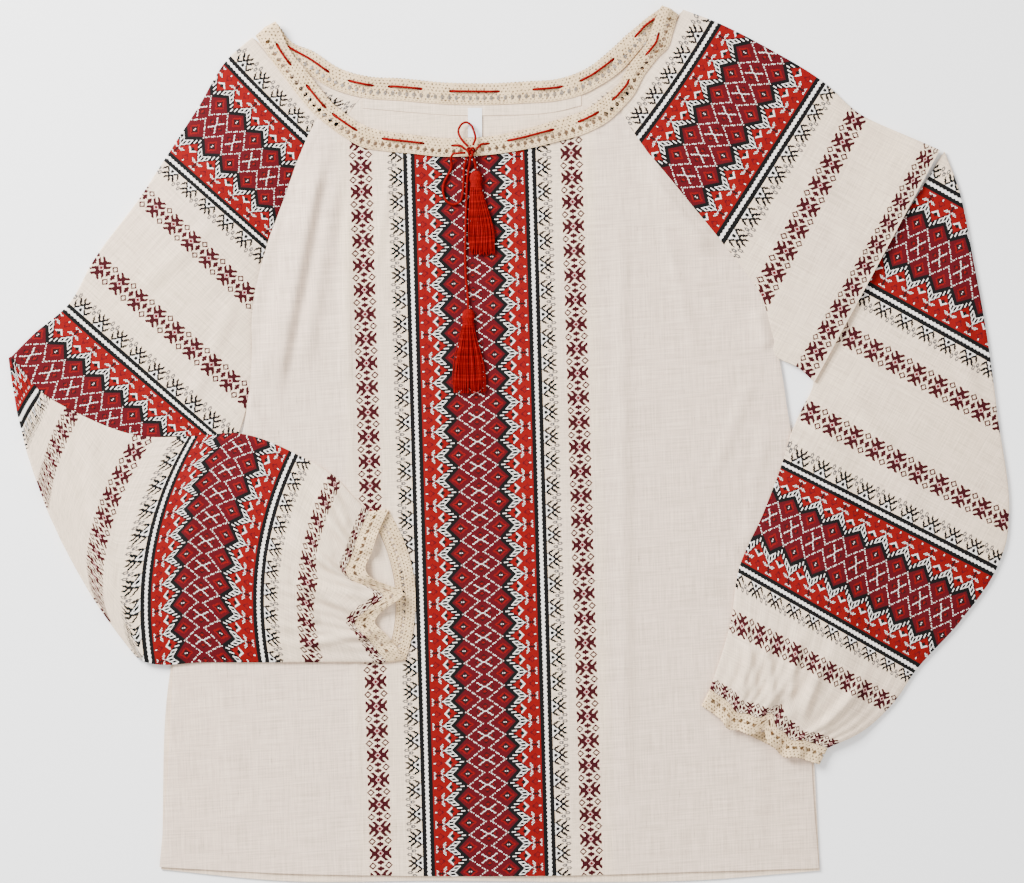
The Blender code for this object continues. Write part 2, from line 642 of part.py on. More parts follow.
def drawstring():
    """Cord from the knot, in and out of the neck lace, and back to the knot."""
    knots = []
    side = 1
    for t in CROSSINGS:
        half = CROSS_HALF / row_length(t)
        knots.append((t - half, side))
        side = -side
        knots.append((t + half, side))
    marks = [t for t, _ in knots]
    for k in range(1, len(NECK_LACE)):
        near = min(abs(k - t) * row_length(min(k, t)) for t in marks)
        inside = any(a < k < b for a, b in zip(marks[::2], marks[1::2]))
        if k not in (LEFT_TIP, LEFT_TIP + 1, RIGHT_TIP, RIGHT_TIP + 1) and near > 2.5 and not inside:
            knots.append((float(k), 1 if sum(t < k for t in CROSSINGS) % 2 == 0 else -1))
    path = list(DRAWSTRING_START)
    turned = set()
    for t, side in sorted(knots):
        for tip in (LEFT_TIP, RIGHT_TIP):
            if t > tip + 0.5 and tip not in turned:
                turned.add(tip)
                for angle in (0, 45, 90, 135, 180):
                    path.append(fold_point(tip, CORD_STOP, angle, -CORD_RISE))
        x, y, z = lace_point(t, CORD_STOP)
        sense = -1 if on_back(t) else 1
        path.append((x, y, z + sense * side * CORD_RISE))
    path += DRAWSTRING_END
    tube("drawstring", path, "cord")


def unit(vector):
    """Vector of length one."""
    length = math.sqrt(sum(c * c for c in vector))
    return tuple(c / length for c in vector)


def tube(name, path, colour, sides=6):
    """Round cord along a path, closed at both ends; its rings follow without a twist."""
    points = []
    faces = []
    count = len(path)
    across = None
    for k, here in enumerate(path):
        back = path[max(k - 1, 0)]
        onward = path[min(k + 1, count - 1)]
        ahead = unit([onward[i] - back[i] for i in range(3)])
        if across is None:
            across = (-ahead[1], ahead[0], 0.0)
        lean = sum(across[i] * ahead[i] for i in range(3))
        across = unit([across[i] - lean * ahead[i] for i in range(3)])
        up = (ahead[1] * across[2] - ahead[2] * across[1],
              ahead[2] * across[0] - ahead[0] * across[2],
              ahead[0] * across[1] - ahead[1] * across[0])
        for n in range(sides):
            turn = 2 * math.pi * (n + 0.5) / sides
            a = CORD_RADIUS * math.cos(turn)
            b = CORD_RADIUS * math.sin(turn)
            points.append(tuple(here[i] + a * across[i] + b * up[i] for i in range(3)))
    for k in range(count - 1):
        for n in range(sides):
            a = k * sides + n
            b = k * sides + (n + 1) % sides
            faces.append((a, b, b + sides, a + sides))
    faces.append(tuple(range(sides)))
    faces.append(tuple(reversed(range((count - 1) * sides, count * sides))))
    return mesh_from(name, points, faces, colour)


def smooth(route, step):
    """Points a step apart on a smooth curve through a route."""
    dense = []
    last = len(route) - 1
    for k in range(last):
        p0, p1, p2, p3 = route[max(k - 1, 0)], route[k], route[k + 1], route[min(k + 2, last)]
        for n in range(12):
            t = n / 12
            dense.append(tuple(
                0.5 * (2 * b + (c - a) * t + (2 * a - 5 * b + 4 * c - d) * t * t
                       + (3 * b - a - 3 * c + d) * t ** 3)
                for a, b, c, d in zip(p0, p1, p2, p3)))
    dense.append(tuple(route[-1]))
    total = sum(math.dist(p, q) for p, q in zip(dense, dense[1:]))
    count = max(round(total / step), 3)
    found = [dense[0]]
    walked = 0.0
    for p, q in zip(dense, dense[1:]):
        span = math.dist(p, q)
        while len(found) < count and walked + span >= len(found) * total / count:
            part = (len(found) * total / count - walked) / span
            found.append(tuple(mix(a, b, part) for a, b in zip(p, q)))
        walked += span
    return found + [dense[-1]]


def free_cord(name, route):
    """Loose cord as a bevelled curve."""
    places = smooth(route, CORD_STEP)
    curve = bpy.data.curves.new(name, "CURVE")
    curve.dimensions = "3D"
    curve.bevel_depth = CORD_RADIUS * MM
    curve.bevel_resolution = 2
    curve.use_fill_caps = True
    spline = curve.splines.new("POLY")
    spline.points.add(len(places) - 1)
    for point, place_ in zip(spline.points, places):
        point.co = (*in_frame(place_), 1.0)
    return add_object(name, curve, "cord")


def knot():
    """Flattened ball where the cords are tied."""
    segments = 10
    points = [(KNOT_CENTRE.x, KNOT_CENTRE.y, KNOT_CENTRE.z + KNOT_SIZE.z)]
    for polar in (36, 72, 108, 144):
        level = math.radians(polar)
        for n in range(segments):
            turn = 2 * math.pi * n / segments
            points.append((KNOT_CENTRE.x + KNOT_SIZE.x * math.sin(level) * math.cos(turn),
                           KNOT_CENTRE.y + KNOT_SIZE.y * math.sin(level) * math.sin(turn),
                           KNOT_CENTRE.z + KNOT_SIZE.z * math.cos(level)))
    points.append((KNOT_CENTRE.x, KNOT_CENTRE.y, KNOT_CENTRE.z - KNOT_SIZE.z))
    faces = []
    foot = len(points) - 1
    for n in range(segments):
        m = (n + 1) % segments
        faces.append((0, 1 + n, 1 + m))
        faces.append((foot, foot - segments + m, foot - segments + n))
        for ring in range(3):
            a = 1 + ring * segments
            faces.append((a + n, a + segments + n, a + segments + m, a + m))
    mesh_from("cord_knot", points, faces, "cord")


def neck_label():
    """Small size label sewn inside the back neck."""
    low = WALL + GAP
    points = [(LABEL_X + sx * LABEL_WIDTH / 2, y, z)
              for z in (low, low + LABEL_WALL)
              for sx, y in ((-1, LABEL_FOOT), (1, LABEL_FOOT), (1, LABEL_TOP), (-1, LABEL_TOP))]
    faces = [(3, 2, 1, 0), (4, 5, 6, 7), (0, 1, 5, 4), (1, 2, 6, 5), (2, 3, 7, 6), (3, 0, 4, 7)]
    mesh_from("neck_label", points, faces, "label")


def tassel(name, size):
    """Bell-shaped head with strands that grow out of its lower face."""
    across, layers = TASSEL_ACROSS, TASSEL_LAYERS
    middle = TASSEL_BASE + TASSEL_THICK / 2
    points = []
    faces = []

    def add(x, y, z):
        points.append((x, y, z))
        return len(points) - 1

    def corner(i, j, y, share):
        off = (i / across - 0.5) * TASSEL_WIDTH * share
        rise = (j / layers - 0.5) * TASSEL_THICK * share
        bulge = 1 - 0.35 * (2 * i / across - 1) ** 4
        return add(size.x + off, y, middle + rise * bulge)

    grid = {(i, j): corner(i, j, size.neck, 0.9) for i in range(across + 1) for j in range(layers + 1)}
    rim = [(i, 0) for i in range(across)] + [(across, j) for j in range(layers)]
    rim += [(i, layers) for i in range(across, 0, -1)] + [(0, j) for j in range(layers, 0, -1)]
    rings = [[grid[key] for key in rim]]
    for y, share in ((mix(size.neck, size.top, 0.55), 1.0), (size.top, 0.5)):
        rings.append([corner(i, j, y, share) for i, j in rim])
    for low, high in zip(rings, rings[1:]):
        for n in range(len(rim)):
            m = (n + 1) % len(rim)
            faces.append((low[n], low[m], high[m], high[n]))
    faces.append(tuple(rings[-1]))
    for i in range(across):
        for j in range(layers):
            cell = [grid[i, j], grid[i + 1, j], grid[i + 1, j + 1], grid[i, j + 1]]
            cx = sum(points[c][0] for c in cell) / 4
            cz = sum(points[c][2] for c in cell) / 4
            root = [add(mix(cx, points[c][0], STRAND_SHARE), size.neck, mix(cz, points[c][2], STRAND_SHARE))
                    for c in cell]
            pitch = (size.right - size.left) / across
            fx = size.left + (i + 0.5 + 0.12 * math.sin(5 * i + 3 * j)) * pitch
            fy = size.foot + 2.2 * math.sin(2.3 * i + 4.1 * j)
            fz = TASSEL_BASE + FOOT_LAYER * (j + 0.5)
            foot = [add(fx + sx * pitch * 0.31, fy, fz + sz * FOOT_LAYER * 0.36)
                    for sx, sz in ((-1, -1), (1, -1), (1, 1), (-1, 1))]
            for n in range(4):
                m = (n + 1) % 4
                faces.append((cell[n], cell[m], root[m], root[n]))
                faces.append((root[n], root[m], foot[m], foot[n]))
            faces.append(tuple(foot))
    mesh_from(name, points, faces, "cord")


def level(x, y):
    """Height of the flat back."""
    return 0.0


for old in list(bpy.data.objects):
    bpy.data.objects.remove(old, do_unlink=True)

panel("back_panel", BACK_ROWS, BACK_NECK, BACK_HEM, 8, 0.0, level)
panel("front_panel", FRONT_ROWS, FRONT_NECK, FRONT_HEM, 20, WALL + GAP, front_height)
left_sleeve()
right_sleeve()
neck_lace()
cuff_lace("cuff_lace_left", LEFT_LOWER[-1], math.pi, no_ground, -1, 16, 5)
cuff_lace("cuff_lace_right", RIGHT_LOWER[-1], 0.0, lower_ground, -1, 15, 5)
drawstring()
knot()
free_cord("cord_loop_top", LOOP_TOP)
free_cord("cord_loop_left", LOOP_LEFT)
free_cord("cord_tail_long", TAIL_LONG)
free_cord("cord_tail_short", TAIL_SHORT)
tassel("tassel_upper", TASSEL_UPPER)
tassel("tassel_lower", TASSEL_LOWER)
neck_label()
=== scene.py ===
"""Raglan blouse of woven linen, laid out flat, dressed as cloth, crochet lace and cord.

Lengths in the tables are millimetres with the same values as the solids: +X to the right,
+Y towards the neck, +Z up off the surface. Meshes are in metres from the blouse's middle.
"""
from __future__ import annotations

import logging
import math
from dataclasses import dataclass, field
from enum import Enum
from typing import Callable, NamedTuple, Sequence

import bpy
import numpy as np
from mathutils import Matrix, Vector


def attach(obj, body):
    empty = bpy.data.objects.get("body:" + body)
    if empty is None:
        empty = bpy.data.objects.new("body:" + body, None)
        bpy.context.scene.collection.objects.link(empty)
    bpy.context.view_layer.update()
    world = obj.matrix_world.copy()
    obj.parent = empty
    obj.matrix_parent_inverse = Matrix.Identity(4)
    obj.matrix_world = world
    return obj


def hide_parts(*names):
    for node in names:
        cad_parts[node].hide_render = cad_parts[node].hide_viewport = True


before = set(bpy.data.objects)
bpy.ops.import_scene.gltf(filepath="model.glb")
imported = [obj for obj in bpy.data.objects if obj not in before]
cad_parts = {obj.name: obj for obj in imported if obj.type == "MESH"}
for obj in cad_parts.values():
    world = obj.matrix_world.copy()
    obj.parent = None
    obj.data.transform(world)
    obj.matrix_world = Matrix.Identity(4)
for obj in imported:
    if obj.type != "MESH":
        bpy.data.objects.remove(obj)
LOG = logging.getLogger("blouse")

MM = 0.001
CENTRE = (-1.728, -0.685)
WALL = 1.2
GAP = 0.3
CLOTH = 0.8                     # cloth shown, its outer face on the solid's
RADIUS = WALL + GAP / 2 - CLOTH / 2
TUBE = 2 * WALL + GAP
LAYER = TUBE + GAP
LACE = 1.0
CORD_RADIUS = 1.0
CORD_RISE = LACE / 2 + GAP + CORD_RADIUS


class Point(NamedTuple):
    """Place in the plane of the photograph."""

    x: float
    y: float


class Spot(NamedTuple):
    """Place in space."""

    x: float
    y: float
    z: float


class BodyRow(NamedTuple):
    """Left and right edge of a body panel at one level."""

    left: Point
    right: Point


class Ruling(NamedTuple):
    """Straight line across a sleeve, with its distances from the neck in the cut."""

    outer: Point
    front: Point
    back: Point
    bow_front: float
    bow_back: float
    puff: float
    s_outer: float
    s_inner: float


class Crease(NamedTuple):
    """Soft fold that stands up from the cloth between two places."""

    start: Point
    end: Point
    width: float
    height: float


class LaceRow(NamedTuple):
    """One row of the neck lace, from its sewn to its free edge."""

    sewn: Point
    free: Point
    z_sewn: float
    z_cord: float


class Tassel(NamedTuple):
    """Size of one tassel."""

    x: float
    top: float
    neck: float
    foot: float
    left: float
    right: float


class Held(Enum):
    """How a sheet of cloth is held."""

    LAID = "laid"
    FOLDED = "folded"
    GATHERED = "gathered"


FRONT_NECK = [Point(-153, 264), Point(-137, 250), Point(-119, 240), Point(-80, 234.5),
              Point(-33, 232), Point(12, 238), Point(54, 248.5), Point(76, 259.5),
              Point(86, 268.5)]
BACK_NECK = [Point(-119, 279), Point(-90, 276.5), Point(-50, 273.5), Point(-9, 273.2),
             Point(38, 276.5), Point(56, 281)]
FRONT_HEM = [Point(-281, -339), Point(-186, -344), Point(-89, -346), Point(34, -346),
             Point(142, -343), Point(246, -340)]
BACK_HEM = [Point(-280, -341), Point(-186, -350), Point(-57, -350), Point(65, -351),
            Point(142, -350), Point(247, -342)]
FRONT_ROWS = [
    BodyRow(Point(-153, 264), Point(86, 268.5)),
    BodyRow(Point(-162, 246), Point(99, 247)),
    BodyRow(Point(-181, 198), Point(133, 204)),
    BodyRow(Point(-196, 156), Point(169, 160)),
    BodyRow(Point(-206, 113), Point(201, 117)),
    BodyRow(Point(-210, 37), Point(215, 64)),
    BodyRow(Point(-216, 0), Point(221, 26)),
    BodyRow(Point(-232, -60), Point(228, -20)),
    BodyRow(Point(-252, -110), Point(233, -80)),
    BodyRow(Point(-268, -160), Point(237, -140)),
    BodyRow(Point(-272, -215), Point(239, -205)),
    BodyRow(Point(-275, -270), Point(241, -270)),
    BodyRow(Point(-281, -339), Point(246, -340)),
]
BACK_ROWS = [
    BodyRow(Point(-119, 279), Point(56, 281)),
    BodyRow(Point(-133, 260), Point(76, 258)),
    BodyRow(Point(-157, 212), Point(115, 212)),
    BodyRow(Point(-181, 165), Point(156, 166)),
    BodyRow(Point(-198, 120), Point(200.6, 117.6)),
    BodyRow(Point(-209, 37), Point(214, 64)),
    BodyRow(Point(-232, -60), Point(227, -20)),
    BodyRow(Point(-268, -160), Point(236, -140)),
    BodyRow(Point(-280, -341), Point(247, -342)),
]
FRONT_FOLDS = [
    Crease(Point(-153, 236), Point(-196, 40), 17, 5.0),
    Crease(Point(-138, 222), Point(-168, 52), 12, 2.6),
    Crease(Point(104, 226), Point(166, 148), 15, 3.4),
    Crease(Point(88, 232), Point(92, -330), 10, 1.5),
    Crease(Point(-128, 216), Point(-134, 30), 9, 1.4),
    Crease(Point(196, 108), Point(206, 74), 9, 2.6),
]
LEFT_UPPER = [
    Ruling(Point(-206, 323.5), Point(-153, 264), Point(-119, 279), 1, 3, 0, 0, 0),
    Ruling(Point(-224, 308), Point(-162, 246), Point(-133, 260), 1, 4, 1.4, 22, 22),
    Ruling(Point(-249, 268), Point(-181, 198), Point(-157, 212), 0, 0, 3.6, 74, 74),
    Ruling(Point(-276, 226), Point(-196, 156), Point(-181, 165), 0, 0, 4.4, 126, 126),
    Ruling(Point(-294, 198), Point(-206, 113), Point(-198, 120), 0, 0, 4.2, 165, 165),
    Ruling(Point(-333, 145), Point(-210, 37), Point(-209, 37), 0, 0, 2.4, 233, 233),
    Ruling(Point(-353, 110), Point(-223, -4), Point(-223, -4), 0, 0, 0, 271, 271),
    Ruling(Point(-381, 86), Point(-252, -70), Point(-252, -70), 8, 8, 0, 310, 366),
    Ruling(Point(-399, 68), Point(-297, -170), Point(-297, -170), 19, 19, 0, 340, 512),
]
LEFT_LOWER = [
    Ruling(Point(-378, 42), Point(-296, -171), Point(-296, -171), 21, 21, 0.6, 372, 514),
    Ruling(Point(-345, 22), Point(-295, -172), Point(-295, -172), 22, 22, 2.2, 421, 516),
    Ruling(Point(-294, 4), Point(-294, -173), Point(-294, -173), 20, 20, 4.0, 482, 518),
    Ruling(Point(-258, 4), Point(-291, -174), Point(-291, -174), 16, 16, 5.0, 519, 520),
    Ruling(Point(-215, 6), Point(-245, -174), Point(-245, -174), 15, 15, 5.6, 571, 571),
    Ruling(Point(-172, -10), Point(-195, -174), Point(-195, -174), 13, 13, 6.0, 623, 623),
    Ruling(Point(-139, -30), Point(-158, -174), Point(-158, -174), 13, 13, 6.6, 662, 662),
    Ruling(Point(-127, -43), Point(-128, -174), Point(-128, -174), 4, 16, 5.6, 695, 695),
    Ruling(Point(-114, -56), Point(-100, -174), Point(-100, -174), -14, 21, 3.0, 738, 738),
]
RIGHT_UPPER = [
    Ruling(Point(137, 345.5), Point(86, 268.5), Point(56, 281), -2.5, -3, 0, 0, 0),
    Ruling(Point(160, 337), Point(99, 247), Point(76, 258), -2, -4, 1.4, 22, 22),
    Ruling(Point(206, 314), Point(133, 204), Point(115, 212), 0, 0, 3.6, 74, 74),
    Ruling(Point(250, 287), Point(169, 160), Point(156, 166), 0, 0, 4.6, 126, 126),
    Ruling(Point(277, 263), Point(201, 117), Point(200.6, 117.6), 0, 0, 4.4, 165, 165),
    Ruling(Point(310, 247), Point(214.4, 68), Point(214.4, 68), 0, 0, 3.4, 200, 200),
    Ruling(Point(333, 237), Point(229, 62), Point(229, 62), 0, 0, 2.2, 228, 226),
    Ruling(Point(342, 233), Point(243, 50), Point(243, 50), 0, 0, 0.8, 244, 244),
]
RIGHT_LOWER = [
    Ruling(Point(346, 232), Point(240, 60), Point(240, 60), 0, 0, 0, 248, 448),
    Ruling(Point(356, 206), Point(242, 55), Point(242, 55), 0, 0, 0, 266, 452),
    Ruling(Point(369, 144), Point(243, 49), Point(243, 49), 0, 0, 0.8, 315, 457),
    Ruling(Point(380, 82), Point(241, 41), Point(241, 41), 0, 0, 2.0, 363, 464),
    Ruling(Point(388, 21), Point(237, 33), Point(237, 33), 0, 0, 3.4, 412, 472),
    Ruling(Point(397, -58), Point(232, 23), Point(232, 23), 0, 0, 4.6, 482, 482),
    Ruling(Point(395, -78), Point(225.4, 8), Point(225.4, 8), 0, 0, 4.8, 500, 499),
    Ruling(Point(388, -98), Point(219, -13), Point(219, -13), 0, 0, 4.8, 519, 519),
    Ruling(Point(358, -142), Point(203, -56), Point(203, -56), 0, 0, 5.2, 571, 571),
    Ruling(Point(322, -182), Point(183, -102), Point(183, -102), 0, 0, 5.6, 623, 623),
    Ruling(Point(304, -208), Point(177, -142), Point(177, -142), 0, 0, 6.4, 662, 662),
    Ruling(Point(281, -229), Point(168, -174), Point(168, -174), 0, 0, 5.2, 695, 695),
    Ruling(Point(252, -243), Point(160, -197), Point(160, -197), -4, -4, 2.8, 738, 738),
]
BODY_SIDE = [Point(215, 64), Point(228, -20), Point(237, -140), Point(246, -340)]
NECK_LACE = [
    LaceRow(Point(-33, 229.3), Point(-33, 243.6), 3.7, 4.3),
    LaceRow(Point(-56, 229), Point(-54, 243.6), 3.7, 4.3),
    LaceRow(Point(-80, 231.5), Point(-76, 246), 3.7, 4.3),
    LaceRow(Point(-101, 233.5), Point(-96, 248.5), 3.7, 4.3),
    LaceRow(Point(-120, 237), Point(-113, 252), 3.7, 4.3),
    LaceRow(Point(-134, 245), Point(-124, 257.5), 3.7, 4.3),
    LaceRow(Point(-147, 254), Point(-136, 266), 3.7, 4.5),
    LaceRow(Point(-158, 263.5), Point(-145, 274), 3.7, 4.9),
    LaceRow(Point(-168, 275), Point(-155, 286), 3.7, 5.8),
    LaceRow(Point(-180, 291), Point(-166, 300), 3.7, 6.7),
    LaceRow(Point(-192, 307), Point(-177, 314), 3.8, 7.0),
    LaceRow(Point(-203.5, 324.5), Point(-186, 334), 4.0, 9.2),
    LaceRow(Point(-203.5, 324.5), Point(-186, 334), 2.0, 2.9),
    LaceRow(Point(-187, 314), Point(-176, 321), 2.0, 2.9),
    LaceRow(Point(-166, 298), Point(-157, 312.5), 2.0, 2.9),
    LaceRow(Point(-146, 285), Point(-138, 300), 2.0, 2.9),
    LaceRow(Point(-119, 276.5), Point(-114, 293), 2.0, 2.9),
    LaceRow(Point(-90, 274), Point(-88, 291.5), 2.0, 2.9),
    LaceRow(Point(-50, 271), Point(-50, 288), 2.0, 2.9),
    LaceRow(Point(-18, 270.5), Point(-18, 287.5), 2.0, 2.9),
    LaceRow(Point(12, 272), Point(12, 289), 2.0, 2.9),
    LaceRow(Point(38, 274), Point(37, 291), 2.0, 2.9),
    LaceRow(Point(56, 278.5), Point(52, 295.5), 2.0, 2.9),
    LaceRow(Point(71, 286), Point(63, 301), 2.0, 2.9),
    LaceRow(Point(88, 298), Point(77, 312), 2.0, 2.9),
    LaceRow(Point(104, 316), Point(92, 326), 2.0, 2.9),
    LaceRow(Point(117, 333), Point(105, 337), 2.0, 2.9),
    LaceRow(Point(133, 341.5), Point(118.5, 346.8), 2.0, 2.9),
    LaceRow(Point(133, 341.5), Point(118.5, 346.8), 4.0, 9.2),
    LaceRow(Point(129, 328), Point(112, 330), 3.8, 7.0),
    LaceRow(Point(125.5, 316.5), Point(109, 321), 3.7, 6.8),
    LaceRow(Point(117, 308), Point(103.5, 313), 3.7, 6.6),
    LaceRow(Point(105, 292), Point(92, 298), 3.7, 6.0),
    LaceRow(Point(98, 278.5), Point(86, 287), 3.7, 5.2),
    LaceRow(Point(88.5, 267.5), Point(77, 279), 3.7, 4.6),
    LaceRow(Point(78, 257.5), Point(68, 271.5), 3.7, 4.3),
    LaceRow(Point(66, 250.5), Point(58, 265.5), 3.7, 4.3),
    LaceRow(Point(52, 245), Point(46, 261), 3.7, 4.3),
    LaceRow(Point(38, 241.3), Point(33, 257), 3.7, 4.3),
    LaceRow(Point(12, 235), Point(8, 250), 3.7, 4.3),
    LaceRow(Point(-9, 231.5), Point(-11, 246), 3.7, 4.3),
]
LEFT_TIP = 11
RIGHT_TIP = 27
LACE_STOPS = (0.0, 0.52, 0.70, 1.0)
CORD_STOP = 0.61
FREE_DROP = 0.4
CROSSINGS = [0.54, 1.76, 3.13, 4.78, 6.04, 6.96, 8.15, 9.5, 10.29,
             14.67, 15.56, 16.12, 16.76, 17.39, 18.11, 19.2, 20.32, 21.08, 22.31, 23.92, 25.32,
             29.41, 30.92, 32.62, 33.86, 35.4, 36.4, 38.13, 39.51, 40.43]
CROSS_HALF = 3.0
KNOT_CENTRE = Spot(-32.0, 232.5, 8.2)
DRAWSTRING_START = [Spot(-36.1, 234.1, 7.6), Spot(-39.4, 236.8, 6.7)]
DRAWSTRING_END = [Spot(-25.0, 237.4, 6.7), Spot(-27.6, 234.2, 7.6)]
LOOP_TOP = [Spot(-34.0, 236.6, 8.8), Spot(-38.0, 240.4, 8.6), Spot(-41.0, 245.0, 7.6),
            Spot(-42.0, 249.5, 6.4), Spot(-40.0, 254.0, 5.8), Spot(-36.0, 256.2, 5.4),
            Spot(-32.0, 254.0, 5.8), Spot(-29.6, 249.0, 6.6), Spot(-28.4, 243.0, 7.8),
            Spot(-30.6, 237.6, 8.6)]
LOOP_LEFT = [Spot(-36.2, 231.6, 8.4), Spot(-42.0, 231.2, 8.9), Spot(-46.0, 230.6, 8.4),
             Spot(-48.0, 227.6, 7.2), Spot(-47.6, 223.8, 5.4), Spot(-48.0, 219.0, 4.1),
             Spot(-51.0, 213.0, 4.1), Spot(-53.8, 207.0, 4.1), Spot(-54.2, 200.0, 4.1),
             Spot(-51.8, 193.6, 4.1), Spot(-46.0, 190.6, 4.1), Spot(-40.6, 193.2, 4.1),
             Spot(-38.6, 200.0, 4.1), Spot(-38.0, 209.0, 4.1), Spot(-37.6, 218.0, 4.2),
             Spot(-36.8, 223.0, 5.4), Spot(-35.4, 227.8, 7.4)]
TAIL_LONG = [Spot(-32.4, 227.3, 7.6), Spot(-33.0, 222.4, 5.8), Spot(-34.2, 217.0, 4.2),
             Spot(-35.2, 206.0, 4.1), Spot(-35.8, 190.0, 4.1), Spot(-36.4, 170.0, 4.1),
             Spot(-36.6, 150.0, 4.1), Spot(-36.0, 132.0, 4.1), Spot(-34.6, 118.0, 4.2),
             Spot(-34.2, 107.4, 5.4)]
TAIL_SHORT = [Spot(-29.9, 227.7, 7.7), Spot(-28.4, 222.0, 6.4), Spot(-28.0, 217.8, 5.6)]
TASSEL_UPPER = Tassel(-28.0, 217.4, 205.0, 150.0, -33.6, -12.6)
TASSEL_LOWER = Tassel(-34.2, 107.0, 95.0, 39.0, -46.6, -19.6)


def in_frame(x: np.ndarray, y: np.ndarray, z: np.ndarray) -> np.ndarray:
    """Points in metres from the middle of the blouse.

    Args:
        x: Table positions to the right, in millimetres.
        y: Table positions towards the neck.
        z: Heights.

    Returns:
        Array with one more axis of length three.
    """
    x, y, z = np.broadcast_arrays(x, y, z)
    return np.stack([(x - CENTRE[0]) * MM, (y - CENTRE[1]) * MM, z * MM], axis=-1)


def ease(t: np.ndarray) -> np.ndarray:
    """Smooth step from 0 to 1."""
    t = np.clip(t, 0.0, 1.0)
    return t * t * (3 - 2 * t)


def spline(rows: np.ndarray, t: np.ndarray) -> np.ndarray:
    """Smooth values between the rows of a table.

    Args:
        rows: Table with a row per station.
        t: Places, counted in rows.

    Returns:
        One row of values per place.
    """
    rows = np.asarray(rows, float)
    last = len(rows) - 1
    k = np.clip(np.floor(t).astype(int), 0, last - 1)
    f = (t - k)[:, None]
    p0 = rows[np.maximum(k - 1, 0)]
    p1 = rows[k]
    p2 = rows[k + 1]
    p3 = rows[np.minimum(k + 2, last)]
    before = np.linalg.norm(p1[:, :2] - p0[:, :2], axis=1)[:, None] + 1e-6
    here = np.linalg.norm(p2[:, :2] - p1[:, :2], axis=1)[:, None] + 1e-6
    after = np.linalg.norm(p3[:, :2] - p2[:, :2], axis=1)[:, None] + 1e-6
    m1 = ((p1 - p0) / before * here + (p2 - p1) * before / here) / (before / here + 1)
    m2 = ((p3 - p2) / after * here + (p2 - p1) * after / here) / (after / here + 1)
    m1 = np.where(k[:, None] == 0, p2 - p1, m1)
    m2 = np.where(k[:, None] == last - 1, p2 - p1, m2)
    h = f * f * (3 - 2 * f)
    return p1 * (1 - h) + p2 * h + m1 * (f ** 3 - 2 * f * f + f) + m2 * (f ** 3 - f * f)


def along(points: Sequence[Point], t: np.ndarray) -> np.ndarray:
    """Points at fractions of a polyline's length, rounded at its corners."""
    line = np.array(points, float)
    steps = np.concatenate([[0.0], np.cumsum(np.linalg.norm(np.diff(line, axis=0), axis=1))])
    return spline(line, np.interp(t * steps[-1], steps, np.arange(len(line))))


class Value:
    """Shader socket that Python's operators extend with Math nodes."""

    def __init__(self, board: "Board", socket: bpy.types.NodeSocket) -> None:
        """Wrap a socket of a board."""
        self.board = board
        self.socket = socket

    def op(self, operation: str, *others: object) -> "Value":
        """Math node of this value and others."""
        node = self.board.node("ShaderNodeMath", {"operation": operation},
                               dict(enumerate((self, *others))))
        return Value(self.board, node.outputs[0])

    def __add__(self, other: object) -> "Value":
        """Sum."""
        return self.op("ADD", other)

    __radd__ = __add__

    def __sub__(self, other: object) -> "Value":
        """Difference."""
        return self.op("SUBTRACT", other)

    def __rsub__(self, other: float) -> "Value":
        """Difference with the number first."""
        return (self * -1.0) + other

    def __mul__(self, other: object) -> "Value":
        """Product."""
        return self.op("MULTIPLY", other)

    __rmul__ = __mul__

    def __truediv__(self, other: object) -> "Value":
        """Quotient."""
        return self.op("DIVIDE", other)

    def __mod__(self, other: object) -> "Value":
        """Remainder that is never negative."""
        return self.op("FLOORED_MODULO", other)

    def __rpow__(self, base: float) -> "Value":
        """A number raised to this value."""
        node = self.board.node("ShaderNodeMath", {"operation": "POWER"}, {0: base, 1: self})
        return Value(self.board, node.outputs[0])

    def __lt__(self, other: object) -> "Value":
        """1 where this is less."""
        return self.op("LESS_THAN", other)

    def __gt__(self, other: object) -> "Value":
        """1 where this is more."""
        return self.op("GREATER_THAN", other)

    def __abs__(self) -> "Value":
        """Size without its sign."""
        return self.op("ABSOLUTE")

    def floor(self) -> "Value":
        """Whole number below."""
        return self.op("FLOOR")

    def sin(self) -> "Value":
        """Sine."""
        return self.op("SINE")

    def rise(self, low: float, high: float) -> "Value":
        """Smooth step between two values."""
        node = self.board.node("ShaderNodeMapRange", {"interpolation_type": "SMOOTHSTEP"},
                               {0: self, 1: low, 2: high, 3: 0.0, 4: 1.0})
        return Value(self.board, node.outputs[0])


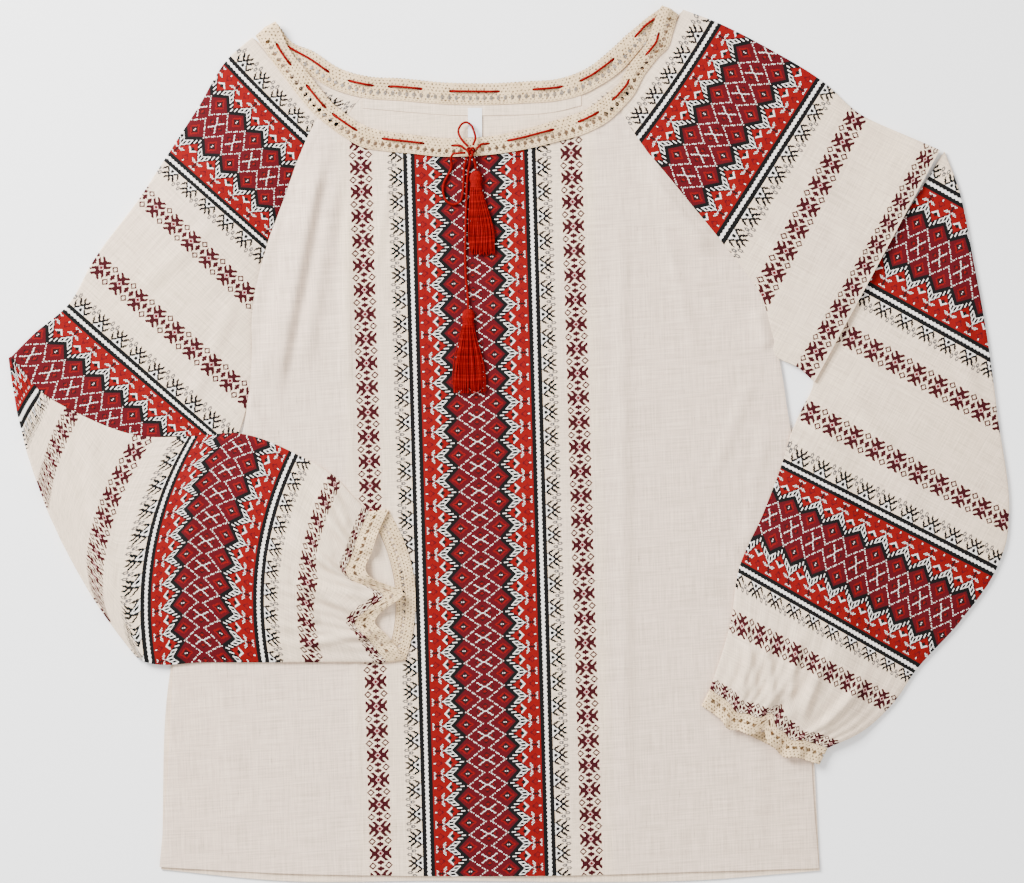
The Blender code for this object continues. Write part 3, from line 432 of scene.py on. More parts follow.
class Board:
    """Node tree of one material."""

    def __init__(self, name: str) -> None:
        """Start an empty material."""
        self.material = bpy.data.materials.new(name)
        self.material.use_nodes = True
        self.tree = self.material.node_tree
        self.shader = self.tree.nodes["Principled BSDF"]

    def node(self, kind: str, settings: dict | None = None,
             inputs: dict | None = None) -> bpy.types.Node:
        """Add one node.

        Args:
            kind: Node type.
            settings: Values set before its sockets; "stops" sets a colour ramp's stops.
            inputs: Socket name or number, with a number, tuple, Value or socket.

        Returns:
            The node.
        """
        node = self.tree.nodes.new(kind)
        for key, value in (settings or {}).items():
            if key == "stops":
                ramp = node.color_ramp
                ramp.interpolation = "CONSTANT"
                while len(ramp.elements) < len(value):
                    ramp.elements.new(1.0)
                for element, (place, colour) in zip(ramp.elements, value):
                    element.position = place
                    element.color = (*colour, 1.0)
            else:
                setattr(node, key, value)
        for key, value in (inputs or {}).items():
            self.plug(node.inputs[key], value)
        return node

    def plug(self, socket: bpy.types.NodeSocket, value: object) -> None:
        """Set or link a socket."""
        if isinstance(value, Value):
            self.tree.links.new(value.socket, socket)
        elif isinstance(value, bpy.types.NodeSocket):
            self.tree.links.new(value, socket)
        elif isinstance(value, tuple) and len(value) == 3 and socket.type == "RGBA":
            socket.default_value = (*value, 1.0)
        else:
            socket.default_value = value

    def mix(self, share: object, first: object, second: object) -> bpy.types.NodeSocket:
        """Colour between two colours."""
        node = self.node("ShaderNodeMix", {"data_type": "RGBA", "clamp_factor": True},
                         {0: share, 6: first, 7: second})
        return node.outputs[2]

    def tint(self, colour: object, factor: Value) -> bpy.types.NodeSocket:
        """Colour made lighter or darker by a value."""
        grey = self.node("ShaderNodeCombineColor", {}, {0: factor, 1: factor, 2: factor})
        node = self.node("ShaderNodeMix", {"data_type": "RGBA", "blend_type": "MULTIPLY"},
                         {0: 1.0, 6: colour, 7: grey.outputs[0]})
        return node.outputs[2]

    def cut(self) -> tuple[Value, Value]:
        """Place in the flat cut, in millimetres."""
        node = self.node("ShaderNodeUVMap", {"uv_map": "cut"})
        split = self.node("ShaderNodeSeparateXYZ", {}, {0: node.outputs[0]})
        return Value(self, split.outputs[0]) * 1000.0, Value(self, split.outputs[1]) * 1000.0

    def place(self) -> bpy.types.NodeSocket:
        """Place on the object, in metres."""
        return self.node("ShaderNodeTexCoord").outputs["Object"]

    def vector(self, x: object, y: object, z: object = 0.0) -> bpy.types.NodeSocket:
        """Vector of three values."""
        return self.node("ShaderNodeCombineXYZ", {}, {0: x, 1: y, 2: z}).outputs[0]

    def noise(self, vector: object, scale: float, detail: float = 2.0,
              roughness: float = 0.5) -> Value:
        """Soft noise around one half."""
        node = self.node("ShaderNodeTexNoise", {"noise_dimensions": "3D"},
                         {"Vector": vector, "Scale": scale, "Detail": detail,
                          "Roughness": roughness})
        return Value(self, node.outputs[0])

    def bump(self, height: Value, distance: float, strength: float = 1.0) -> None:
        """Raise the surface by a height from 0 to 1 times a distance in metres."""
        node = self.node("ShaderNodeBump", {}, {"Strength": strength, "Distance": distance,
                                                "Height": height})
        self.plug(self.shader.inputs["Normal"], node.outputs[0])

    def finish(self, **sockets: object) -> bpy.types.Material:
        """Plug the shader's sockets, with spaces for underscores, and hand the material over."""
        for key, value in sockets.items():
            self.plug(self.shader.inputs[key.replace("_", " ")], value)
        return self.material


@dataclass(frozen=True)
class BandChart:
    """Woven ornament, charted over a quarter of one repeat.

    The wide band is drawn cell by cell from its lattice. The comb border and the narrow band
    are charted; a dot is bare ground.
    """

    rows: int = 13
    wide: int = 55
    pitch: float = 0.8165
    cell: float = 0.8
    comb: tuple[str, ...] = (
        "......gg.gg.....",
        ".......gggg.....",
        "...........gggg.",
        "....kkkk..gg..gg",
        "..kkkk.....gggg.",
        ".kkkk.....kk....",
        "kkk.....kkkk....",
        "wkkk...kkkk.....",
        "wwkkk.kkkk......",
        "wwwkkkkk...kkkk.",
        "wwwwwkkk..kkkk..",
        "wkkkwwkkkkkk....",
        "wkkkkwwkkkk.....",
    )
    narrow: tuple[str, ...] = (
        "rrpkkkkkk..g",
        "rpkkkkkkk...",
        "pkkkkkkkkk..",
        "kkkkk..kkkk.",
        ".kkkk...kkk.",
        "..kkkk...kk.",
        "...kkkk.....",
        "k...kkkk...g",
        "kkk.........",
        "kkkk...kk...",
        "kkk...kkkk..",
        "k....kk..kk.",
        "....kk....kk",
    )

    def lattice(self, row: int, column: int) -> str:
        """Letter of one cell of the wide band.

        Args:
            row: Row from 0, where the lattice closes, to 12, where it is widest.
            column: Cells from the band's centre.

        Returns:
            r for bright red, d for dark red, k for black or w for white.
        """
        inner = 2.5 + 16 * row / 12
        black = 31 - row
        low = 34 - 12.3 * row / 12
        high = 42.5 - 16 * row / 12
        if abs(column - inner) < 0.75:
            return "w" if (row + column) % 3 else "d"
        if column < inner:
            return self.medallion(row, column)
        if abs(column - black) < 1.6 and row < 12:
            return "k"
        if column < black:
            off = abs(column - 19) / 6.6 + row / 5.0
            if off < 0.28:
                return "w" if column != 19 else "d"
            if off < 0.62:
                return "k"
            return "r" if 0.8 < off < 1.15 else "d"
        if low + 0.6 <= column <= high - 0.4:
            dot = abs(column - (low + high) / 2) < 2.2 and row % 3
            return "k" if dot else "w"
        if column < low + 0.6:
            return "k" if column > low - 1.6 else "d"
        if column <= high + 1.2:
            return "k"
        return self.fringe(row, column)

    def medallion(self, row: int, column: int) -> str:
        """Four small diamonds within a white cross, in the middle of the band."""
        for middle, level in ((5.5, 12.0), (0.0, 7.2)):
            off = abs(column - middle) / 3.6 + abs(row - level) / 2.8
            if off < 0.35:
                return "r"
            if off < 0.8:
                return "k" if off > 0.55 else "d"
        if abs(column - 1.5 * (12 - row) - 0.5) < 0.9 and row > 7:
            return "w"
        return "d"

    def fringe(self, row: int, column: int) -> str:
        """Hooks, little stars and half diamonds outside the zigzag."""
        off = abs(column - 36) / 4.6 + (12 - row) / 4.2
        if off < 0.6:
            return "k"
        if off < 1.0 and column > 35:
            return "w"
        star = (column - 48, row)
        if star[1] == 0 and abs(star[0]) < 4 or abs(star[0]) == star[1] < 3 or star == (0, 3):
            return "k"
        if abs(star[0]) == star[1] + 1 and row in (2, 3) or star[1] == 1 and abs(star[0]) == 4:
            return "w"
        if (column, row) in ((44, 5), (43, 6), (45, 4), (43, 4)):
            return "w"
        if (column, row) in ((44, 4), (45, 5), (42, 6), (44, 6)):
            return "k"
        hook = abs(column - 48) / 4.4 + (12 - row) / 3.4
        if 0.62 < hook < 1.0:
            return "d" if column < 50 else "w" if row % 3 == 0 else "d"
        return "r"

    def ramp(self, letters: Sequence[Sequence[str]], values: dict[str, int],
             plane: int) -> list[tuple[float, tuple[float, ...]]]:
        """Stops of a constant ramp that hold one bit of every cell.

        Args:
            letters: Cells, row by row.
            values: Number of each letter.
            plane: Which bit of that number.

        Returns:
            A stop per row, whose three channels hold 22 columns each.
        """
        stops = []
        for k, row in enumerate(letters):
            channels = [0, 0, 0]
            for column, letter in enumerate(row):
                if values[letter] >> plane & 1:
                    channels[column // 22] |= 1 << column % 22
            stops.append((k / self.rows, tuple(c / 2 ** 22 for c in channels)))
        return stops

    def bit(self, board: Board, row: Value, column: Value,
            stops: list[tuple[float, tuple[float, ...]]]) -> Value:
        """Read one bit of the cell at a row and column."""
        fac = (row + 0.5) / float(self.rows)
        ramp = board.node("ShaderNodeValToRGB", {"stops": stops}, {0: fac})
        split = board.node("ShaderNodeSeparateColor", {}, {0: ramp.outputs[0]})
        red, green, blue = (Value(board, split.outputs[i]) for i in range(3))
        third = (column / 22.0).floor()
        word = (red * (third < 0.5) + blue * (third > 1.5)
                + green * ((third > 0.5) * (third < 1.5)))
        scaled = (word * 4194304.0 + 0.5) * 0.5 ** (column - third * 22.0)
        return scaled.floor() % 2.0


@dataclass(frozen=True)
class Linen:
    """Plain or banded linen with slubs, a fine weave and uneven bleaching."""

    name: str
    banded: bool = True
    ground: tuple[float, float, float] = (0.80, 0.625, 0.445)
    side: tuple[float, float, float] = (0.73, 0.565, 0.44)
    side_from: float = 0.0
    only: float = 1000.0
    red: tuple[float, float, float] = (0.17, 0.0006, 0.0006)
    dark: tuple[float, float, float] = (0.072, 0.0004, 0.003)
    wine: tuple[float, float, float] = (0.034, 0.0006, 0.0025)
    pink: tuple[float, float, float] = (0.74, 0.42, 0.38)
    black: tuple[float, float, float] = (0.002, 0.002, 0.002)
    white: tuple[float, float, float] = (0.80, 0.75, 0.70)
    period: float = 248.8
    first: float = 74.4
    border: float = 43.8
    edge: float = 53.2
    second: float = 90.2
    chart: BandChart = field(default_factory=BandChart)

    def make(self) -> bpy.types.Material:
        """Build the material."""
        board = Board(self.name)
        s, w = board.cut()
        slubs = (board.noise(board.vector(s * 0.9, w * 0.035), 1.0, 3.0)
                 + board.noise(board.vector(s * 0.035, w * 0.9, 7.0), 1.0, 3.0)) - 1.0
        flecks = board.noise(board.vector(s * 0.5, w * 0.06, 3.0), 1.4, 2.0).rise(0.66, 0.80)
        cloud = board.noise(board.place(), 9.0, 2.0) - 0.5
        ground = board.mix(cloud * 1.2 + 0.4, self.ground, self.side)
        if self.side_from:
            share = abs(s - self.first).rise(self.side_from - 4.0, self.side_from + 8.0)
            ground = board.mix(share, ground, self.side)
        ground = board.tint(ground, slubs * 0.70 + 1.0 - flecks * 0.28)
        threads = (s * (2 * math.pi / 0.62)).sin() * (w * (2 * math.pi / 0.62)).sin()
        height = threads * 0.25 + slubs * 1.4
        colour: object = ground
        rough: object = 0.86
        if self.banded:
            colour, threaded = self.bands(board, ground, s, w)
            height = height + threaded * ((w * (2 * math.pi / 0.8165)).sin() * 0.30 + 0.9)
            rough = 0.86 - threaded * 0.16
        board.bump(height, 0.00022, 0.55)
        return board.finish(Base_Color=colour, Roughness=rough, Sheen_Weight=0.03,
                            Sheen_Roughness=0.5, Specular_IOR_Level=0.10)

    def bands(self, board: Board, ground: object, s: Value,
              w: Value) -> tuple[bpy.types.NodeSocket, Value]:
        """Lay the woven bands over the ground.

        Args:
            board: The material's nodes.
            ground: Colour of the bare cloth.
            s: Distance across the bands, in millimetres from the neck.
            w: Distance along the bands.

        Returns:
            The colour, and 1 where the coloured threads lie.
        """
        chart = self.chart
        wobble = (board.noise(board.vector(s * 0.2, w * 0.9, 11.0), 1.0, 1.0) - 0.5) * 0.5
        half = self.period / 2
        d = abs((s + wobble + (half - self.first)) % self.period - half)
        y = (w / chart.pitch) % 24.0
        row = (12.5 - abs(y - 12.0)).floor()
        column = (d / chart.cell).floor()
        wide = [[chart.lattice(r, c) for c in range(chart.wide)] for r in range(chart.rows)]
        letters = {"r": 0, "d": 1, "k": 2, "w": 3}
        low = chart.bit(board, row, column, chart.ramp(wide, letters, 0))
        high = chart.bit(board, row, column, chart.ramp(wide, letters, 1))
        red = board.mix(low, self.red, self.dark)
        ink = board.mix(low, self.black, self.white)
        colour = board.mix(high, red, ink)
        wave = (y * (2 * math.pi / 4.0)).sin() * 0.35
        edging = board.mix(abs(d + wave - (self.border + self.edge) / 2 + 0.1) < 1.3,
                           self.black, self.white)
        colour = board.mix(d > self.border, colour, edging)
        inside = (d < self.edge) * (abs(s - self.first) < self.only)
        both = [a + b for a, b in zip(chart.comb, chart.narrow)]
        letters = {".": 0, "k": 1, "g": 2, "p": 2, "w": 3, "r": 3}
        packed = [[str(letters[c] & 1) for c in cells] + [str(letters[c] >> 1) for c in cells]
                  for cells in both]
        stops = chart.ramp(packed, {"0": 0, "1": 1}, 0)
        comb = ((d - self.edge) / chart.cell).floor()
        star = (abs(d - self.second) / chart.cell).floor()
        near = d < 70.0
        column = near * comb + (1.0 - near) * (star + 16.0)
        low = chart.bit(board, row, column, stops)
        high = chart.bit(board, row, column + 28.0, stops)
        fits = 1.0 - (1.0 - near * (comb < 15.5)) * (1.0 - (1.0 - near) * (star < 11.5))
        fits = fits * (abs(s - self.first) < self.only)
        thread = board.mix(near, self.wine, self.black)
        accent = board.mix(near, self.dark, self.white)
        shade = board.mix(near, self.pink, (0.10, 0.09, 0.085))
        motif = board.mix(low, board.mix(high, ground, shade), board.mix(high, thread, accent))
        outside = board.mix(fits, ground, motif)
        mottle = board.noise(board.vector(s * 1.3, w * 1.3, 5.0), 1.0, 2.0) * 0.5 + 0.75
        colour = board.tint(colour, mottle)
        drawn = 1.0 - (1.0 - inside) * (1.0 - fits * low)
        return board.mix(inside, outside, colour), drawn


@dataclass(frozen=True)
class Crochet:
    """Ecru crochet with pinholes painted dark as shade between its stitches, and a line of
    stitching.
    """

    name: str
    thread: tuple[float, float, float] = (0.97, 0.71, 0.41)
    shade: tuple[float, float, float] = (0.66, 0.44, 0.22)
    # Painted shade: dark brown for the pinholes; the line of stitching is drawn in it as well.
    deep: tuple[float, float, float] = (0.10, 0.055, 0.025)
    pitch: float = 3.1
    line: float = 2.4

    def make(self) -> bpy.types.Material:
        """Build the material."""
        board = Board(self.name)
        a, b = board.cut()
        drift = board.noise(board.vector(a * 0.4, b * 0.4, 2.0), 1.0, 1.0) * 1.6
        row = ((b + drift) / self.line).floor()
        x = ((a + drift) / self.pitch + row * 0.5) % 1.0 - 0.5
        y = ((b + drift) / self.line) % 1.0 - 0.5
        size = board.noise(board.vector(a * 0.45, b * 0.6), 1.0, 1.0) * 2.4 - 0.72
        off = x * x * (self.pitch * self.pitch) + y * y * (self.line * self.line)
        hole = 1.0 - (off - size * size).rise(-0.05, 0.12)
        hole = hole * (size > 0.0) * (b > 1.9)
        dash = (abs(b - 1.0) < 0.35) * (((a / 3.0) % 1.0) < 0.55)
        stitch = (a * (2 * math.pi / 1.25)).sin() * (b * (2 * math.pi / 0.95)).sin()
        fluff = board.noise(board.place(), 900.0, 2.0)
        tone = board.noise(board.place(), 60.0, 2.0)
        colour = board.mix(tone.rise(0.3, 0.8) * 0.6, self.thread, self.shade)
        colour = board.tint(colour, fluff * 0.4 + 0.80 + stitch * 0.09)
        # Painted shade: the pinholes are coloured dark instead of cut through.
        colour = board.mix(hole * 0.88, colour, self.deep)
        colour = board.mix(dash * 0.6, colour, self.deep)
        board.bump(stitch * 0.5 + fluff - hole * 1.6, 0.0005, 0.9)
        return board.finish(Base_Color=colour, Roughness=0.88, Sheen_Weight=0.05,
                            Specular_IOR_Level=0.15)


@dataclass(frozen=True)
class Yarn:
    """Red cotton yarn with fine fibres along the strand."""

    name: str
    colour: tuple[float, float, float] = (0.25, 0.0006, 0.0004)
    deep: tuple[float, float, float] = (0.10, 0.0003, 0.0002)
    stretch: float = 1.0

    def make(self) -> bpy.types.Material:
        """Build the material."""
        board = Board(self.name)
        a, b = board.cut()
        fibre = board.noise(board.vector(a * 0.4 * self.stretch, b * 6.0), 1.0, 3.0, 0.6)
        patch = board.noise(board.place(), 160.0, 2.0)
        colour = board.mix(fibre.rise(0.35, 0.75), self.deep, self.colour)
        colour = board.tint(colour, patch * 0.5 + 0.8)
        board.bump(fibre, 0.0003, 0.7)
        return board.finish(Base_Color=colour, Roughness=0.82, Sheen_Weight=0.04,
                            Sheen_Tint=(0.9, 0.1, 0.08), Specular_IOR_Level=0.08)


@dataclass(frozen=True)
class PlainTape:
    """Bare woven tape, for the label."""

    name: str
    colour: tuple[float, float, float] = (0.86, 0.86, 0.87)
    rib: float = 0.45

    def make(self) -> bpy.types.Material:
        """Build the material."""
        board = Board(self.name)
        a, b = board.cut()
        ribs = (b * (2 * math.pi / self.rib)).sin()
        cloud = board.noise(board.place(), 120.0, 2.0)
        colour = board.tint(self.colour, cloud * 0.12 + 0.94 + ribs * 0.02)
        board.bump(ribs * 0.5 + (a * (2 * math.pi / self.rib)).sin() * 0.3, 0.0001, 0.6)
        return board.finish(Base_Color=colour, Roughness=0.7, Sheen_Weight=0.1)


@dataclass(frozen=True)
class PaleFloor:
    """Plain pale ground with the faintest unevenness."""

    name: str = "pale_floor"
    colour: tuple[float, float, float] = (0.97, 0.97, 0.97)

    def make(self) -> bpy.types.Material:
        """Build the material."""
        board = Board(self.name)
        cloud = board.noise(board.place(), 3.0, 2.0)
        return board.finish(Base_Color=board.tint(self.colour, cloud * 0.01 + 0.995), Roughness=0.9)


def make_object(name: str, verts: np.ndarray, quads: np.ndarray, cut: np.ndarray,
                material: bpy.types.Material) -> bpy.types.Object:
    """Smooth mesh object of four-sided faces.

    Args:
        name: Name of the object.
        verts: Points in metres.
        quads: Four vertex numbers per face.
        cut: Place in the flat cut of each face corner, in metres.
        material: Its finish.

    Returns:
        The object, in the scene.
    """
    mesh = bpy.data.meshes.new(name)
    mesh.vertices.add(len(verts))
    mesh.vertices.foreach_set("co", np.ascontiguousarray(verts, np.float32).ravel())
    mesh.loops.add(quads.size)
    mesh.loops.foreach_set("vertex_index", np.ascontiguousarray(quads, np.int32).ravel())
    mesh.polygons.add(len(quads))
    mesh.polygons.foreach_set("loop_start", np.arange(0, quads.size, 4, dtype=np.int32))
    layer = mesh.uv_layers.new(name="cut")
    layer.data.foreach_set("uv", np.ascontiguousarray(cut, np.float32).ravel())
    mesh.update(calc_edges=True)
    mesh.validate()
    mesh.materials.append(material)
    mesh.shade_smooth()
    mesh.set_sharp_from_angle(angle=math.radians(60))
    thing = bpy.data.objects.new(name, mesh)
    bpy.context.scene.collection.objects.link(thing)
    return thing


@dataclass
class Cloth:
    """Thin sheet on a grid of points, made into a closed shell.

    Attributes:
        points: Rows and columns of its middle surface, in metres.
        cut: Place of each point in the flat cut, in millimetres; a ring has one row more.
        thick: Thickness in millimetres.
        ring: Whether the last row joins the first.
        holes: Cells that are cut out.
    """

    points: np.ndarray
    cut: np.ndarray
    thick: float = CLOTH
    ring: bool = False
    holes: np.ndarray | None = None

    def normals(self) -> np.ndarray:
        """Unit normal at each point."""
        p = self.points
        down = np.roll(p, -1, 0) - np.roll(p, 1, 0) if self.ring else np.gradient(p, axis=0)
        normal = np.cross(down, np.gradient(p, axis=1))
        return normal / (np.linalg.norm(normal, axis=-1, keepdims=True) + 1e-12)

    def build(self, name: str, material: bpy.types.Material) -> bpy.types.Object:
        """Make the shell's object."""
        rows, columns = self.points.shape[:2]
        reach = self.normals() * (self.thick * MM / 2)
        verts = np.concatenate([(self.points + reach).reshape(-1, 3),
                                (self.points - reach).reshape(-1, 3)])
        down = rows if self.ring else rows - 1
        i, j = np.meshgrid(np.arange(down), np.arange(columns - 1), indexing="ij")
        if self.holes is not None:
            i, j = i[~self.holes], j[~self.holes]
        i, j = i.ravel(), j.ravel()
        ci = np.stack([i, i + 1, i + 1, i], axis=1)
        cj = np.stack([j, j, j + 1, j + 1], axis=1)
        top = (ci % rows) * columns + cj
        place = self.cut[ci, cj] * MM
        shift = rows * columns
        a, b = top.ravel(), np.roll(top, -1, axis=1).ravel()
        place_a, place_b = place.reshape(-1, 2), np.roll(place, -1, axis=1).reshape(-1, 2)
        rim = ~np.isin(a * (2 * shift) + b, b * (2 * shift) + a)
        a, b, place_a, place_b = a[rim], b[rim], place_a[rim], place_b[rim]
        quads = np.concatenate([top, top[:, ::-1] + shift,
                                np.stack([b, a, a + shift, b + shift], axis=1)])
        cut = np.concatenate([place, place[:, ::-1],
                              np.stack([place_b, place_a, place_a, place_b], axis=1)])
        return make_object(name, verts, quads, cut, material)


def fold_rise(folds: Sequence[Crease], x: np.ndarray, y: np.ndarray) -> np.ndarray:
    """Height of soft folds above the flat cloth."""
    rise = np.zeros_like(x)
    for fold in folds:
        dx, dy = fold.end.x - fold.start.x, fold.end.y - fold.start.y
        length = math.hypot(dx, dy)
        t = ((x - fold.start.x) * dx + (y - fold.start.y) * dy) / length ** 2
        off = np.abs((x - fold.start.x) * dy - (y - fold.start.y) * dx) / length / fold.width
        ends = ease(5 * t) * ease(5 * (1 - t))
        rise += fold.height * ends * (1 + np.cos(np.pi * np.minimum(off, 1))) / 2
    return rise


def ripple(x: np.ndarray, y: np.ndarray, size: float, seed: float) -> np.ndarray:
    """Uneven shallow waves of cloth that was smoothed by hand."""
    total = np.zeros_like(x)
    for k in range(7):
        angle = 1.7 * seed + 1.9 * k
        wave = 19.0 * 1.31 ** k
        u = x * math.cos(angle) + y * math.sin(angle)
        v = y * math.cos(angle) - x * math.sin(angle)
        bend = 1.4 * np.sin(2 * np.pi * v / (2.3 * wave) + k + seed)
        total += np.sin(2 * np.pi * u / wave + 2.3 * seed + 4.1 * k + bend) * (0.6 + wave / 90)
    return size * total / 4


def valley(distance: np.ndarray, width: float, depth: float) -> np.ndarray:
    """Narrow dip along a seam or a row of stitches."""
    return -depth * np.exp(-(distance / width) ** 2)


def curve_tube(name: str, path: np.ndarray, radius: float, material: bpy.types.Material,
               sides: int = 16, plies: int = 3, lay: float = 6.0) -> bpy.types.Object:
    """Twisted cord along a path, closed at both ends.

    Args:
        name: Name of the object.
        path: Points in millimetres.
        radius: Radius to the top of the plies.
        material: Its finish.
        sides: Points round a ring.
        plies: Strands twisted together; 0 leaves it round.
        lay: Length of one turn of the twist.

    Returns:
        The cord's object.
    """
    steps = np.concatenate([[0.0], np.cumsum(np.linalg.norm(np.diff(path, axis=0), axis=1))])
    ahead = np.gradient(path, axis=0)
    ahead /= np.linalg.norm(ahead, axis=1, keepdims=True)
    across = np.empty_like(path)
    side = np.array([-ahead[0, 1], ahead[0, 0], 0.05])
    for k, way in enumerate(ahead):
        side = side - way * (side @ way)
        side /= np.linalg.norm(side)
        across[k] = side
    up = np.cross(ahead, across)
    turn = np.arange(sides) * 2 * np.pi / sides
    twist = steps[:, None] * 2 * np.pi / lay
    size = radius * (1 - 0.13 * (1 - np.abs(np.cos(plies * (turn - twist) / 2)))) if plies else \
        np.full((len(path), sides), radius)
    size[[0, -1]] *= 0.6
    ring = (path[:, None] + across[:, None] * (size * np.cos(turn))[..., None]
            + up[:, None] * (size * np.sin(turn))[..., None])
    verts = in_frame(ring[..., 0], ring[..., 1], ring[..., 2]).reshape(-1, 3)
    i, j = np.meshgrid(np.arange(len(path) - 1), np.arange(sides), indexing="ij")
    i, j = i.ravel(), j.ravel()
    ci = np.stack([i, i, i + 1, i + 1], axis=1)
    cj = np.stack([j, j + 1, j + 1, j], axis=1)
    quads = ci * sides + cj % sides
    spin = plies * (cj * 2 * np.pi / sides - twist[:, 0][ci]) / (2 * np.pi)
    cut = np.stack([steps[ci], spin], axis=-1) * MM
    caps = [[k, sides - 1 - k, sides - 2 - k, k + 1] for k in range(sides // 2 - 1)]
    last = (len(path) - 1) * sides
    ends = np.array(caps + [[last + c for c in reversed(cap)] for cap in caps])
    flat = np.zeros((len(ends), 4, 2))
    return make_object(name, verts, np.concatenate([quads, ends]), np.concatenate([cut, flat]),
                       material)


def dense(route: Sequence[Spot] | np.ndarray, step: float) -> np.ndarray:
    """Points about a step apart on a smooth curve through a route."""
    rows = np.array(route, float)
    t = np.linspace(0, len(rows) - 1, (len(rows) - 1) * 16 + 1)
    k = np.clip(t.astype(int), 0, len(rows) - 2)
    f = (t - k)[:, None]
    p0, p1 = rows[np.maximum(k - 1, 0)], rows[k]
    p2, p3 = rows[k + 1], rows[np.minimum(k + 2, len(rows) - 1)]
    curve = 0.5 * (2 * p1 + (p2 - p0) * f + (2 * p0 - 5 * p1 + 4 * p2 - p3) * f ** 2
                   + (3 * p1 - p0 - 3 * p2 + p3) * f ** 3)
    steps = np.concatenate([[0.0], np.cumsum(np.linalg.norm(np.diff(curve, axis=0), axis=1))])
    want = np.linspace(0, steps[-1], max(int(steps[-1] / step), 4) + 1)
    return np.stack([np.interp(want, steps, curve[:, i]) for i in range(3)], axis=1)


def length_of(path: np.ndarray) -> float:
    """Length of a path in metres."""
    return float(np.linalg.norm(np.diff(path, axis=0), axis=1).sum()) * MM


def settle(piece: bpy.types.Object, slot: str, *nodes: str) -> bpy.types.Object:
    """Ride on the garment and stand for solids."""
    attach(piece, "root")
    if nodes:
        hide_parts(*nodes)
    return piece


